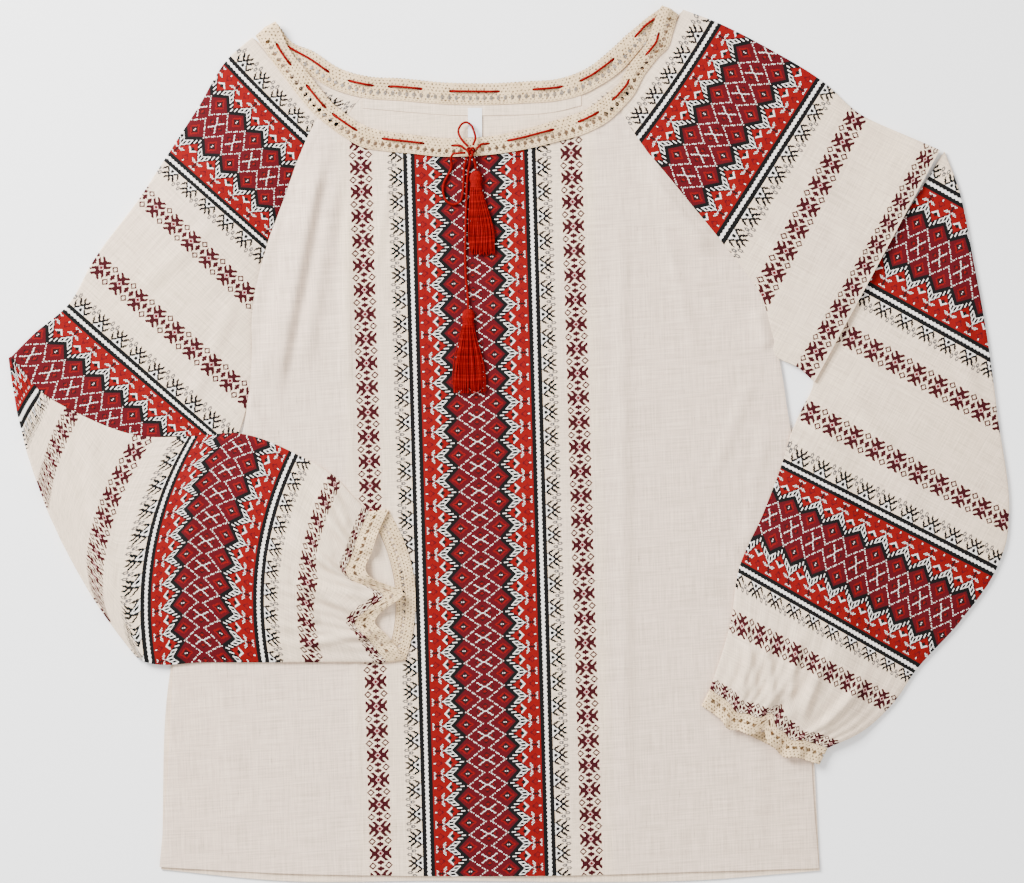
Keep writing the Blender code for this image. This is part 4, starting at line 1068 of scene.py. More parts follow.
@dataclass
class BodyPanels:
    """Front and back of the body, with the facing inside the back neck and the size label."""

    step: float = 2.6
    back_step: float = 7.0
    line_top: Point = Point(-33.2, 226.4)
    line_foot: Point = Point(-16.8, -343.2)
    shift_left: float = 3.2
    shift_right: float = 8.8
    facing_width: float = 10.0
    label_x: float = -28.8
    label_top: float = 268.0
    label_foot: float = 244.5
    label_width: float = 11.2
    label_z: float = 1.8
    fine_folds: list[Crease] = field(default_factory=lambda: [
        Crease(Point(-132, 196), Point(-121, -330), 5, 0.8),
        Crease(Point(-149, 240), Point(-190, 26), 8, 2.4),
        Crease(Point(110, 214), Point(158, 150), 8, 1.6),
        Crease(Point(-210, 40), Point(-198, 4), 5, 1.6),
        Crease(Point(-203, 30), Point(-184, -20), 6, 1.0),
        Crease(Point(-176, 20), Point(-150, -120), 12, 0.9),
        Crease(Point(196, 60), Point(160, -30), 9, 1.2),
        Crease(Point(206, 20), Point(186, -90), 8, 1.0),
        Crease(Point(120, 190), Point(150, 60), 10, 1.1),
        Crease(Point(-95, 222), Point(-112, 120), 6, 0.7),
        Crease(Point(40, 226), Point(58, 120), 7, 0.7),
        Crease(Point(-240, -140), Point(-215, -320), 13, 0.9),
        Crease(Point(206, -150), Point(196, -325), 12, 0.9),
        Crease(Point(12, 180), Point(20, -60), 14, 0.6),
        Crease(Point(-60, 60), Point(-66, -200), 16, 0.6),
    ])
    back_folds: list[Crease] = field(default_factory=lambda: [
        Crease(Point(-150, 200), Point(-190, 30), 16, 0.5),
        Crease(Point(120, 180), Point(170, 20), 15, 0.5),
        Crease(Point(-60, 220), Point(-70, -300), 18, 0.4),
        Crease(Point(60, 200), Point(80, -280), 18, 0.4),
    ])

    def patch(self, rows: Sequence[BodyRow], neck: Sequence[Point], hem: Sequence[Point],
              step: float) -> tuple[np.ndarray, np.ndarray]:
        """Places of a panel's grid between its neckline, sides and hem.

        Args:
            rows: Left and right edge at each level.
            neck: Neckline.
            hem: Lower edge.
            step: Size of a cell.

        Returns:
            Positions to the right and towards the neck.
        """
        table = np.array([[*row.left, *row.right] for row in rows], float)
        levels = -(table[:, 1] + table[:, 3]) / 2
        down = int((levels[-1] - levels[0]) / step)
        t = np.interp(np.linspace(levels[0], levels[-1], down + 1), levels,
                      np.arange(len(rows)))
        left = spline(table[:, :2], t)
        right = spline(table[:, 2:], t)
        u = np.linspace(0, 1, int(np.linalg.norm(table[-1, :2] - table[-1, 2:]) / step) + 1)
        v = (t / (len(rows) - 1))[:, None, None]
        across = left[:, None] * (1 - u)[None, :, None] + right[:, None] * u[None, :, None]
        ends = []
        for line in (neck, hem):
            chord = np.outer(1 - u, line[0]) + np.outer(u, line[-1])
            ends.append(along(line, u) - chord)
        place = across + (1 - v) * ends[0][None] + v * ends[1][None]
        return place[..., 0], place[..., 1]

    def cut_of(self, x: np.ndarray, y: np.ndarray) -> np.ndarray:
        """Place in the cut, across and along the woven bands."""
        dx, dy = self.line_foot.x - self.line_top.x, self.line_foot.y - self.line_top.y
        length = math.hypot(dx, dy)
        dx, dy = dx / length, dy / length
        px, py = x - self.line_top.x, y - self.line_top.y
        u = px * -dy + py * dx
        v = px * dx + py * dy + 0.04 * u
        share = ease((np.abs(u) - 66.6) / 6.4)
        u = u + share * np.where(u > 0, self.shift_right, -self.shift_left)
        return np.stack([74.4 + u, v], axis=-1)

    def front(self, material: bpy.types.Material) -> bpy.types.Object:
        """Front panel with its folds, seam valleys and hem stitching."""
        x, y = self.patch(FRONT_ROWS, FRONT_NECK, FRONT_HEM, self.step)
        z = 1.5 + WALL - CLOTH / 2 + fold_rise(FRONT_FOLDS, x, y)
        z = z + fold_rise(self.fine_folds, x, y) + ripple(x, y, 0.34, 1.0)
        left, right = x - x[:, :1], x[:, -1:] - x
        z = z + valley(left, 1.8, 0.5) + valley(right, 1.8, 0.5)
        z = z + valley(left - 6.0, 0.9, 0.22) + valley(right - 6.0, 0.9, 0.22)
        z = z + valley(y - y[-1:] - 13.0, 1.1, 0.3)
        shape = Cloth(in_frame(x, y, z), self.cut_of(x, y))
        return settle(shape.build("front_cloth", material), "woven_band", "front_panel")

    def back(self, material: bpy.types.Material) -> bpy.types.Object:
        """Back panel, which lies face down under the front."""
        x, y = self.patch(BACK_ROWS, BACK_NECK, BACK_HEM, self.back_step)
        z = CLOTH / 2 + 0.15 + fold_rise(self.back_folds, x, y) * 0.5 \
            + np.clip(ripple(x, y, 0.12, 2.0), -0.12, 0.3)
        shape = Cloth(in_frame(x, y, z), self.cut_of(x, y))
        return settle(shape.build("back_cloth", material), "linen", "back_panel")

    def facing(self, material: bpy.types.Material) -> bpy.types.Object:
        """Narrow strip inside the back neck."""
        u = np.linspace(0, 1, 120)
        edge = along(BACK_NECK, u)
        v = np.linspace(0, 1, 7)
        x = edge[:, 0, None] + 0 * v
        y = edge[:, 1, None] - 1.0 - v * self.facing_width
        z = CLOTH + 0.5 + ripple(x, y, 0.1, 3.0)
        shape = Cloth(in_frame(x, y, z), np.stack([x, y], axis=-1), 0.5)
        return settle(shape.build("neck_facing", material), "linen")

    def label(self, material: bpy.types.Material) -> bpy.types.Object:
        """Bare label that stands on the inside of the back."""
        u, v = np.meshgrid(np.linspace(-0.5, 0.5, 12), np.linspace(0, 1, 24), indexing="ij")
        x = self.label_x + u * self.label_width
        y = self.label_top + (self.label_foot - self.label_top) * v
        z = self.label_z + 0.25 * np.sin(3.0 * v) - 0.3 * u ** 2
        shape = Cloth(in_frame(x, y, z), np.stack([x, y], axis=-1), 0.35)
        return settle(shape.build("bare_label", material), "label", "neck_label")


class Station(NamedTuple):
    """One ruling of a sleeve with its turn about the crease and its gathers."""

    ruling: Ruling
    turn: float
    gather: float


@dataclass
class Sleeve:
    """Flattened sleeve: front and back layer, outer fold and, below the arm, a seam.

    Attributes:
        stations: Its rulings in order.
        closed_from: Station from which the underarm seam is closed.
        ground: Height of what lies under a place.
        seed: Choice of the ripples.
        full: Width of the cloth before it was gathered.
        gather_from: Station where the gathers begin.
        step: Size of a cell along and across.
    """

    stations: list[Station]
    closed_from: float
    ground: Callable[[np.ndarray, np.ndarray], np.ndarray]
    seed: float
    full: float = 178.0
    gather_from: float = 99.0
    step: float = 2.9
    folds: list[Crease] = field(default_factory=list)
    pleats: tuple[tuple[float, float, float], ...] = ()
    plane: tuple[float, float, float, float, float] | None = None
    plane_to: float = 0.0

    def pleat(self, t: np.ndarray, u: np.ndarray, seen: np.ndarray) -> np.ndarray:
        """Shift of the cuff's edge in the plane, where a pleat pulls it in or out."""
        start = len(self.stations) - 3.2
        total = sum(size * np.exp(-((u - middle) / wide) ** 2) for middle, wide, size in self.pleats)
        return np.where(seen, total, 0.0) * ease((t - start) / 2.2)[:, None]

    def straight_cut(self, x: np.ndarray, y: np.ndarray) -> tuple[np.ndarray, np.ndarray]:
        """Places in the cut of a stretch that lies flat, across and along its bands."""
        s0, px, py, ax, ay = self.plane
        return s0 + (x - px) * ax + (y - py) * ay, (x - px) * ay - (y - py) * ax

    def rows(self, step: float) -> tuple[np.ndarray, np.ndarray]:
        """Smooth table of the rulings, and the station count of each row.

        Args:
            step: Distance between rows.

        Returns:
            Rows of outer, front and back points, bows, puff, s, turn and gather; their places.
        """
        table = np.array([[*s.ruling.outer, *s.ruling.front, *s.ruling.back, *s.ruling[3:],
                           s.turn, s.gather] for s in self.stations], float)
        middle = (table[:, :2] + table[:, 2:4]) / 2
        gaps = np.linalg.norm(np.diff(middle, axis=0), axis=1)
        widest = np.maximum(gaps, np.linalg.norm(np.diff(table[:, :2], axis=0), axis=1))
        counts = np.maximum(np.ceil(widest / step).astype(int), 3)
        t = np.concatenate([k + np.arange(n) / n for k, n in enumerate(counts)]
                           + [[len(table) - 1]])
        k = np.clip(t.astype(int), 0, len(table) - 2)
        share = (t - k)[:, None]
        straight = table[k] * (1 - share) + table[k + 1] * share
        smooth = np.concatenate([spline(table[:, i:i + 2], t) for i in (0, 2, 4)], axis=1)
        turning = np.abs(table[k, 11] - table[k + 1, 11]) > 0.01
        smooth[turning] = straight[turning, :6]
        return np.concatenate([smooth, straight[:, 6:]], axis=1), t

    def section(self, across: int) -> tuple[np.ndarray, np.ndarray, np.ndarray]:
        """Places round a sleeve: layer (1 front, -1 back), share u and angle past its end."""
        u = np.linspace(1, 0, across + 1)
        seam = np.radians([80.0, 45.0])
        fold = np.radians([30.0, 60.0, 90.0, 120.0, 150.0])
        layer = np.concatenate([np.ones(2 + len(u)), np.where(fold <= np.pi / 2 + 0.01, 1, -1),
                                -np.ones(len(u) + 2)])
        share = np.concatenate([[1, 1], u, np.zeros(len(fold)), u[::-1], [1, 1]])
        angle = np.concatenate([seam, 0 * u, fold, np.full(len(u), np.pi),
                                np.pi - seam[::-1]])
        return layer, share, angle

    def put(self, rows: np.ndarray, t: np.ndarray, across: int, radius: float,
            relief: Callable[..., np.ndarray], forward: np.ndarray | float = 0.0
            ) -> tuple[np.ndarray, np.ndarray]:
        """Points and cut places of a layer of cloth round the sleeve.

        Args:
            rows: Smooth table of the rulings.
            t: Station of each row.
            across: Cells across one layer.
            radius: Half distance between the two layers' middles.
            relief: Extra height from row, layer, share, length and visibility.
            forward: Distance past the ruling.

        Returns:
            Points in metres, and places in the cut in millimetres.
        """
        layer, u, angle = self.section(across)
        outer, front, back = rows[:, None, 0:2], rows[:, None, 2:4], rows[:, None, 4:6]
        inner = np.where(layer[None, :, None] > 0, front, back)
        bow = np.where(layer[None] > 0, rows[:, None, 6], rows[:, None, 7])
        turn = rows[:, None, 11]
        length = np.linalg.norm(inner - outer, axis=-1)
        way = (inner - outer) / length[..., None]
        closed = ease(t - self.closed_from + 1)[:, None]
        seam = (u > 0.5)[None]
        beyond = radius * np.sin(angle)[None] * np.where(seam, closed, 1.0)
        seen = np.where(turn > np.pi / 2, -layer[None], layer[None]) > 0
        w = radius * np.cos(angle)[None]
        w = w + layer[None] * relief(rows, layer[None], u[None], length, seen) \
            * (np.abs(np.cos(angle))[None] > 0.99)
        swing = 4 * u * (1 - u) * bow + forward
        if self.pleats:
            swing = swing + self.pleat(t, u[None], seen)
        reach = u * length + np.where(seam, beyond, -beyond)
        if self.folds:
            near_x = outer[..., 0] + way[..., 0] * reach + way[..., 1] * swing
            near_y = outer[..., 1] + way[..., 1] * reach - way[..., 0] * swing
            w = w + np.where(seen, layer[None] * fold_rise(self.folds, near_x, near_y), 0.0)
        arm = LAYER / 2 - w
        x = outer[..., 0] + way[..., 0] * reach + way[..., 1] * (swing + arm * np.sin(turn))
        y = outer[..., 1] + way[..., 1] * reach - way[..., 0] * (swing + arm * np.sin(turn))
        z = TUBE / 2 + LAYER / 2 - arm * np.cos(turn) + self.ground(x, y)
        edge = rows[:, 0:2]
        step = np.diff(edge, axis=0)
        along_way = (way[1:, 0] + way[:-1, 0]) / 2
        start = np.concatenate([[0.0], np.cumsum((step * along_way).sum(axis=1))])[:, None]
        wide = length * (1 + ease(t - self.gather_from)[:, None]
                         * (np.maximum(self.full / length, 1) - 1))
        s = rows[:, None, 9] * (1 - u) + rows[:, None, 10] * u + 0 * x
        s = np.where(~seen & (s > 700), 700 + (s - 700) * 0.4, s)
        w_cut = start + layer[None] * u * wide
        if self.plane:
            flat_s, flat_w = self.straight_cut(x, y)
            hinge = self.straight_cut(rows[:, 0], rows[:, 1])[1][:, None]
            flat_w = np.where(layer[None] > 0, flat_w, 2 * hinge - flat_w)
            share = 1 - ease((t - self.plane_to) / 2)[:, None]
            level = int(np.argmin(np.abs(t - self.plane_to - 1)))
            flat_w = flat_w + (w_cut[level] - flat_w[level])[layer > 0].mean()
            s = s * (1 - share) + flat_s * share
            w_cut = w_cut * (1 - share) + flat_w * share
        return in_frame(x, y, z), np.stack([s, w_cut], axis=-1)

    def creases(self, rows: np.ndarray, layer: np.ndarray, u: np.ndarray, length: np.ndarray,
                seen: np.ndarray) -> np.ndarray:
        """Relief of the cloth: puff, gathers, ripples and the valleys of the seams."""
        puff = rows[:, None, 8] * np.sin(np.pi * np.clip(u, 0, 1)) ** 0.8
        waves = (1 + np.cos(2 * np.pi * 5 * u)) / 2
        gather = rows[:, None, 12] * np.sin(np.pi * np.clip(u, 0, 1)) * waves
        fine = rows[:, None, 12] / 1.8 * 0.55 * np.sin(2 * np.pi * 13 * u + 3 * np.sin(9 * u))
        s = rows[:, None, 9] * (1 - u) + rows[:, None, 10] * u
        bumps = ripple(s, u * length + 40 * layer, 0.36, self.seed)
        ends = np.sin(np.pi * np.clip(u, 0.0, 1.0)) ** 0.5
        seam = valley((1 - u) * length, 2.0, 0.4)
        return np.where(seen, puff + gather + fine + bumps * ends + seam,
                        -0.25 * np.abs(bumps) * ends)

    def cloth(self, name: str, material: bpy.types.Material, node: str) -> bpy.types.Object:
        """Build the sleeve's cloth."""
        rows, t = self.rows(self.step)
        widest = float(np.linalg.norm(rows[:, 0:2] - rows[:, 2:4], axis=1).max())
        points, cut = self.put(rows, t, int(widest / self.step), RADIUS, self.creases)
        return settle(Cloth(points, cut).build(name, material), "woven_band", node)

    def size(self) -> tuple[float, float, float]:
        """Width all round, length and area of the flat cut, in metres."""
        rows, t = self.rows(6.0)
        points, cut = self.put(rows, t, 24, RADIUS, self.creases)
        a, b = np.diff(points, axis=0)[:, :-1], np.diff(points, axis=1)[:-1]
        area = float(np.linalg.norm(np.cross(a, b), axis=-1).sum())
        width = float((cut[..., 1].max(axis=1) - cut[..., 1].min(axis=1)).max()) * MM
        length = float(cut[..., 0].max() - cut[..., 0].min()) * MM
        return width, length, area


@dataclass(frozen=True)
class Eyelets:
    """Rows of oval holes in a strip of lace, with scallops along its free edge."""

    pitch: float = 5.6
    level: float = 0.31
    half_along: float = 1.55
    half_across: float = 1.95
    scallop: float = 3.2
    depth: float = 0.7

    def shape(self, a: np.ndarray, b: np.ndarray, width: float, slots: Sequence[float] = (),
              slot_level: float = CORD_STOP) -> tuple[np.ndarray, np.ndarray, np.ndarray]:
        """Cut the holes into a grid and pull its points to their outlines.

        Args:
            a: Length along the strip at each point, in millimetres.
            b: Distance from the sewn edge.
            width: Width of the strip.
            slots: Places of the slots that the cord passes through.
            slot_level: Their share of the width.

        Returns:
            Both places again, and the cells that are cut out.
        """
        a, b = a.copy(), b.copy()
        cells = np.zeros((a.shape[0] - 1, a.shape[1] - 1), bool)
        middle_a = (a[1:, 1:] + a[:-1, :-1]) / 2
        middle_b = (b[1:, 1:] + b[:-1, :-1]) / 2
        centres = [(c, self.level * width, self.half_along, self.half_across)
                   for c in np.arange(self.pitch, a.max() - self.pitch, self.pitch)]
        centres += [(c, slot_level * width, 3.4, 1.4) for c in slots]
        for ca, cb, ra, rb in centres:
            rows = np.flatnonzero(np.abs(a[:, 0] - ca) < ra + 3)
            if not len(rows):
                continue
            lo, hi = rows[0], rows[-1]
            part = slice(lo, hi)
            hit = np.hypot((middle_a[part] - ca) / ra, (middle_b[part] - cb) / rb) < 1
            cells[part] |= hit
            around = np.zeros((hit.shape[0] + 1, hit.shape[1] + 1), int)
            for di in (0, 1):
                for dj in (0, 1):
                    around[di:di + hit.shape[0], dj:dj + hit.shape[1]] += hit
            rim = (around > 0) & (around < 4)
            i, j = np.nonzero(rim)
            i = i + lo
            off = np.hypot((a[i, j] - ca) / ra, (b[i, j] - cb) / rb) + 1e-9
            a[i, j] = ca + (a[i, j] - ca) / off
            b[i, j] = cb + (b[i, j] - cb) / off
        edge = ease((b / width - 0.84) / 0.16)
        b = b + edge * self.depth * (np.abs(np.sin(np.pi * a / self.scallop)) - 0.5)
        return a, b, cells


@dataclass
class NeckLace:
    """Gathered lace round the neck, half of it under the other half at the shoulders."""

    step: float = 0.66
    thick: float = 0.7
    width: float = 17.0
    columns: int = 26
    eyelets: Eyelets = field(default_factory=Eyelets)
    flat: tuple[float, float] = (0.0, 0.0)

    def table(self, first: int, last: int) -> np.ndarray:
        """Rows of the strip from one table row to another, round the end of the table."""
        count = len(NECK_LACE)
        picked = [NECK_LACE[k % count] for k in range(first, last + 1)]
        return np.array([[*row.sewn, *row.free, row.z_sewn, row.z_cord] for row in picked], float)

    def point(self, table: np.ndarray, t: np.ndarray, stop: np.ndarray) -> np.ndarray:
        """Middle of the lace at places along and across a table.

        Args:
            table: Rows of the strip.
            t: Place of each point, counted in rows.
            stop: Share of the width of each point.

        Returns:
            Points in millimetres, with the shape of t and a last axis of three.
        """
        flat, share = t.ravel(), stop.ravel()
        middle = spline((table[:, :2] + table[:, 2:4]) / 2, flat)
        reach = spline(np.concatenate([table[:, 2:4] - table[:, :2]], axis=1), flat)
        k = np.clip(flat.astype(int), 0, len(table) - 2)
        part = (flat - k)[:, None]
        heights = table[k, 4:6] * (1 - part) + table[k + 1, 4:6] * part
        xy = middle + reach * (share - 0.5)[:, None]
        z = heights[:, 0] + (heights[:, 1] - heights[:, 0]) * np.clip(share / LACE_STOPS[1], 0, 1)
        z = z - FREE_DROP * np.clip((share - LACE_STOPS[2]) / 0.3, 0, 1.3)
        return np.column_stack([xy, z]).reshape(*t.shape, 3)

    def measure(self, table: np.ndarray) -> tuple[np.ndarray, np.ndarray]:
        """Length along the cord's line at fine places of a table."""
        t = np.linspace(0, len(table) - 1, (len(table) - 1) * 12 + 1)
        line = self.point(table, t, np.full_like(t, CORD_STOP))
        return t, np.concatenate([[0.0], np.cumsum(np.linalg.norm(np.diff(line, axis=0), axis=1))])

    def half(self, first: int, last: int, sense: float, start: float
             ) -> tuple[np.ndarray, np.ndarray, np.ndarray]:
        """Grid of the front or the back half.

        Args:
            first: Table row where it starts.
            last: Table row where it ends.
            sense: 1 where its right side faces up, else -1.
            start: Length of the strip before it.

        Returns:
            Points in millimetres, places in the cut and the cells that are cut out.
        """
        table = self.table(first, last)
        fine, steps = self.measure(table)
        total = steps[-1]
        count = int(total / self.step)
        a, b = np.meshgrid(np.linspace(0, total, count + 1),
                           np.linspace(0, self.width, self.columns + 1), indexing="ij")
        rows = len(NECK_LACE)
        slots = []
        for crossing in CROSSINGS:
            place = (crossing - first) % rows
            if place < last - first:
                slots.append(float(np.interp(place, fine, steps)))
        a, b, holes = self.eyelets.shape(a, b, self.width, slots)
        t = np.interp(a, steps, fine)
        points = self.point(table, t, b / self.width)
        share = b / self.width
        free = ease((share - 0.74) / 0.26)
        sewn = np.sin(np.pi * np.clip(share / 0.48, 0, 1))
        waves = np.sin(2 * np.pi * a / 12.5 + 1.3 * np.sin(a / 17)) * 0.55 * free
        waves += np.sin(2 * np.pi * a / 5.6) * 0.22 * sewn
        ends = np.clip(np.minimum(a, total - a) / 12, 0, 1)
        points[..., 2] += waves * ends * sense * (1.0 if sense > 0 else 0.5)
        return points, np.stack([a + start, b], axis=-1), holes

    def fold(self, tip: int, points: np.ndarray, after: np.ndarray) -> np.ndarray:
        """Rows of the half turn at a shoulder, between the last and the first row beside it."""
        normal = tip_direction(tip)
        middle = (points + after) / 2
        reach = (points[:, 2] - after[:, 2]) / 2
        rows = []
        for angle in np.radians(np.arange(20, 180, 20)):
            row = middle.copy()
            row[:, :2] += normal * (np.abs(reach) * math.sin(angle))[:, None]
            row[:, 2] += reach * math.cos(angle)
            rows.append(row)
        return np.array(rows)

    def build(self, material: bpy.types.Material) -> bpy.types.Object:
        """Make the strip as one ring."""
        count = len(NECK_LACE)
        front, cut_front, holes_front = self.half(RIGHT_TIP + 1, count + LEFT_TIP, 1.0, 0.0)
        start = float(cut_front[-1, 0, 0]) + 10.0
        back, cut_back, holes_back = self.half(LEFT_TIP + 1, RIGHT_TIP, -1.0, start)
        left = self.fold(LEFT_TIP, front[-1], back[0])
        right = self.fold(RIGHT_TIP, back[-1], front[0])
        turns = []
        for begin in (float(cut_front[-1, 0, 0]), float(cut_back[-1, 0, 0])):
            a = begin + np.linspace(1.1, 8.9, len(left))
            turns.append(np.stack(np.meshgrid(a, cut_front[0, :, 1], indexing="ij"), axis=-1))
        points = np.concatenate([front, left, back, right])
        last = cut_back[-1:] + np.array([10.0, 0.0])
        cut = np.concatenate([cut_front, turns[0], cut_back, turns[1], last])
        plain = np.zeros((len(left) + 1, front.shape[1] - 1), bool)
        holes = np.concatenate([holes_front, plain, holes_back, plain])
        shape = Cloth(in_frame(points[..., 0], points[..., 1], points[..., 2]), cut, self.thick,
                      True, holes)
        self.flat = (self.width * MM, float(last[0, 0, 0]) * MM)
        return settle(shape.build("lace_collar", material), "lace", "neck_lace")


def tip_direction(tip: int) -> np.ndarray:
    """Direction in which the lace's fold at a shoulder points."""
    def middle(k: int) -> np.ndarray:
        row = NECK_LACE[k % len(NECK_LACE)]
        return np.array(row.sewn) * (1 - CORD_STOP) + np.array(row.free) * CORD_STOP
    way = middle(tip) - (middle(tip - 1) + middle(tip + 2)) / 2
    return way / np.linalg.norm(way)


@dataclass
class CuffLace:
    """Ruffled lace that carries a sleeve on past its gathered edge."""

    sleeve: Sleeve
    reach: float
    thick: float = 0.7
    radius: float = 0.9
    columns: int = 24
    across: int = 160
    eyelets: Eyelets = field(default_factory=lambda: Eyelets(
        level=0.42, pitch=6.4, half_along=2.0, half_across=1.6))
    flat: tuple[float, float] = (0.0, 0.0)

    def build(self, name: str, material: bpy.types.Material, node: str) -> bpy.types.Object:
        """Make the ruffle from the sleeve's last ruling."""
        last = self.sleeve.rows(self.sleeve.step)[0][-1:]
        rows = np.repeat(last, self.columns + 1, axis=0)
        t = np.full(len(rows), float(len(self.sleeve.stations) - 1))
        lift = np.linspace(0, 1, self.columns + 1)[:, None]
        forward = -(0.5 + lift * (self.reach - 0.5))

        def ruffle(table: np.ndarray, layer: np.ndarray, u: np.ndarray, length: np.ndarray,
                   seen: np.ndarray) -> np.ndarray:
            """Waves that grow towards the free edge."""
            inside = np.clip(np.minimum(u, 1 - u) / 0.08, 0, 1)
            swell = table[:, None, 8] * np.sin(np.pi * u) ** 0.8
            wave = 3.0 * lift ** 0.8 * (1 + np.cos(2 * np.pi * 5 * u)) / 2
            gather = 1.8 * np.sin(np.pi * u) * (1 + np.cos(2 * np.pi * 5 * u)) / 2
            fine = 0.5 * lift * np.sin(2 * np.pi * 12 * u + 2 * np.sin(7 * u))
            return np.where(seen, swell + gather + (wave + fine) * inside, 0.0)

        points, cut = self.sleeve.put(rows, t, self.across, self.radius, ruffle, forward)
        layer, u, _ = self.sleeve.section(self.across)
        length = float(np.linalg.norm(last[0, 0:2] - last[0, 2:4]))
        a = np.broadcast_to(((1 - layer * u) * length * 1.2)[None], points.shape[:2])
        b = np.broadcast_to(lift * self.reach, points.shape[:2])
        flipped = self.eyelets.shape(a.T, b.T, self.reach)
        shape = Cloth(points, np.stack([a, b], axis=-1), self.thick, False, flipped[2].T)
        self.flat = (self.reach * MM, 2 * length * 1.2 * MM)
        return settle(shape.build(name, material), "lace", node)


@dataclass
class Ties:
    """Drawstring through the neck lace, its knot, loops and tails, and the two tassels."""

    lace: NeckLace
    step: float = 0.7
    strands: int = 112
    strand_radius: float = 0.42
    base: float = 3.0
    width: float = 10.4
    deep: float = 5.2

    def lace_spot(self, t: float, side: float) -> list[float]:
        """Place of the cord over or under the lace at a table row."""
        count = len(NECK_LACE)
        on_back = LEFT_TIP + 0.5 < t < RIGHT_TIP + 0.5
        first = LEFT_TIP + 1 if on_back else RIGHT_TIP + 1
        last = RIGHT_TIP if on_back else count + LEFT_TIP
        table = self.lace.table(first, last)
        place = np.array([t - first if on_back else (t - first) % count])
        x, y, z = self.lace.point(table, place, np.array([CORD_STOP]))[0]
        return [x, y, z + (-1 if on_back else 1) * side * CORD_RISE]

    def turn_spots(self, tip: int) -> list[list[float]]:
        """Places of the cord inside the half turn of the lace."""
        first, after = self.lace_spot(tip, 0.0), self.lace_spot(tip + 1, 0.0)
        reach = (first[2] - after[2]) / 2
        radius = abs(reach) - CORD_RISE
        normal = tip_direction(tip)
        spots = []
        for angle in np.radians([0, 45, 90, 135, 180]):
            x, y = np.array(first[:2]) + normal * radius * math.sin(angle)
            spots.append([x, y, (first[2] + after[2]) / 2
                          + math.copysign(radius, reach) * math.cos(angle)])
        return spots

    def route(self) -> np.ndarray:
        """Line of the drawstring, in and out of the slots."""
        def pace(t: float) -> float:
            """Millimetres per row beside a place."""
            k = math.floor(t)
            return math.dist(self.lace_spot(k, 0.0)[:2], self.lace_spot(k + 1, 0.0)[:2]) + 1e-6

        marks = []
        side = 1
        for t in CROSSINGS:
            half = CROSS_HALF / pace(t)
            marks.append((t - half, side))
            side = -side
            marks.append((t + half, side))
        places = [t for t, _ in marks]
        tips = (LEFT_TIP, LEFT_TIP + 1, RIGHT_TIP, RIGHT_TIP + 1)
        for k in range(1, len(NECK_LACE)):
            near = min(abs(k - t) * pace(min(k, t)) for t in places)
            inside = any(a < k < b for a, b in zip(places[::2], places[1::2]))
            if k not in tips and near > 2.5 and not inside:
                passed = sum(t < k for t in CROSSINGS)
                marks.append((float(k), 1 if passed % 2 == 0 else -1))
        path = [list(spot) for spot in DRAWSTRING_START]
        turned: set[int] = set()
        for t, side in sorted(marks):
            for tip in (LEFT_TIP, RIGHT_TIP):
                if t > tip + 0.5 and tip not in turned:
                    turned.add(tip)
                    path += self.turn_spots(tip)
            path.append(self.lace_spot(t, side))
        return np.array(path + [list(spot) for spot in DRAWSTRING_END])

    def cord(self, name: str, route: Sequence[Spot] | np.ndarray, material: bpy.types.Material,
             *nodes: str) -> tuple[bpy.types.Object, np.ndarray]:
        """One length of cord and its line."""
        path = dense(route, self.step)
        return settle(curve_tube(name, path, CORD_RADIUS, material), "red_cord", *nodes), path

    def knot(self, material: bpy.types.Material) -> bpy.types.Object:
        """Cord wound into an overhand knot, with the short tail that leaves it."""
        t = np.linspace(0, 2 * np.pi, 120)
        x = KNOT_CENTRE.x + 2.7 * (np.sin(t) + 2 * np.sin(2 * t)) / 2.7
        y = KNOT_CENTRE.y + 3.9 * (np.cos(t) - 2 * np.cos(2 * t)) / 2.8
        z = KNOT_CENTRE.z - 1.5 * np.sin(3 * t)
        wound = curve_tube("tie_knot", np.stack([x, y, z], axis=1), CORD_RADIUS, material)
        tail = curve_tube("tie_tail", dense(TAIL_SHORT, self.step), CORD_RADIUS, material)
        joined = merge("tie_knot", [wound, tail])
        return settle(joined, "red_cord", "cord_knot", "cord_tail_short")

    def tassel(self, size: Tassel, seed: int, name: str, material: bpy.types.Material,
               node: str) -> bpy.types.Object:
        """Wrapped head and a spread of strands of uneven length.

        Args:
            size: Its places.
            seed: Choice of the strands.
            name: Name of the object.
            material: Its finish.
            node: Solid that it stands for.

        Returns:
            The tassel's object.
        """
        rng = np.random.default_rng(seed)
        parts = []
        middle = self.base + self.deep / 2
        for k in range(self.strands):
            radius = math.sqrt((k + 0.5) / self.strands)
            angle = k * 2.39996
            u, v = radius * math.cos(angle), radius * math.sin(angle)
            foot = size.foot + rng.uniform(0.0, 5.0)
            t = np.linspace(0, 1, 9)
            spread = ease(t * 1.25) ** 0.8
            start = size.x + u * self.width * 0.40
            end = size.left + (size.right - size.left) * ((u + 1) / 2) * 0.97
            bend = rng.uniform(-1.3, 1.3) * np.sin(np.pi * t) + rng.uniform(-0.9, 0.9) * t
            x = start + (end - start) * spread + bend
            y = size.neck + 2.0 + (foot - size.neck - 2.0) * t
            high = middle + v * self.deep * 0.42
            low = self.base + 0.5 + (v + 1) / 2 * self.deep * 0.52
            z = high + (low - high) * ease(t * 1.1)
            radius = self.strand_radius * rng.uniform(0.85, 1.1)
            parts.append(curve_tube(f"{name}_{k}", np.stack([x, y, z], axis=1), radius,
                                    material, 6, 0))
        parts.append(self.head(size, name, material))
        return settle(merge(name, parts), "red_cord", node)

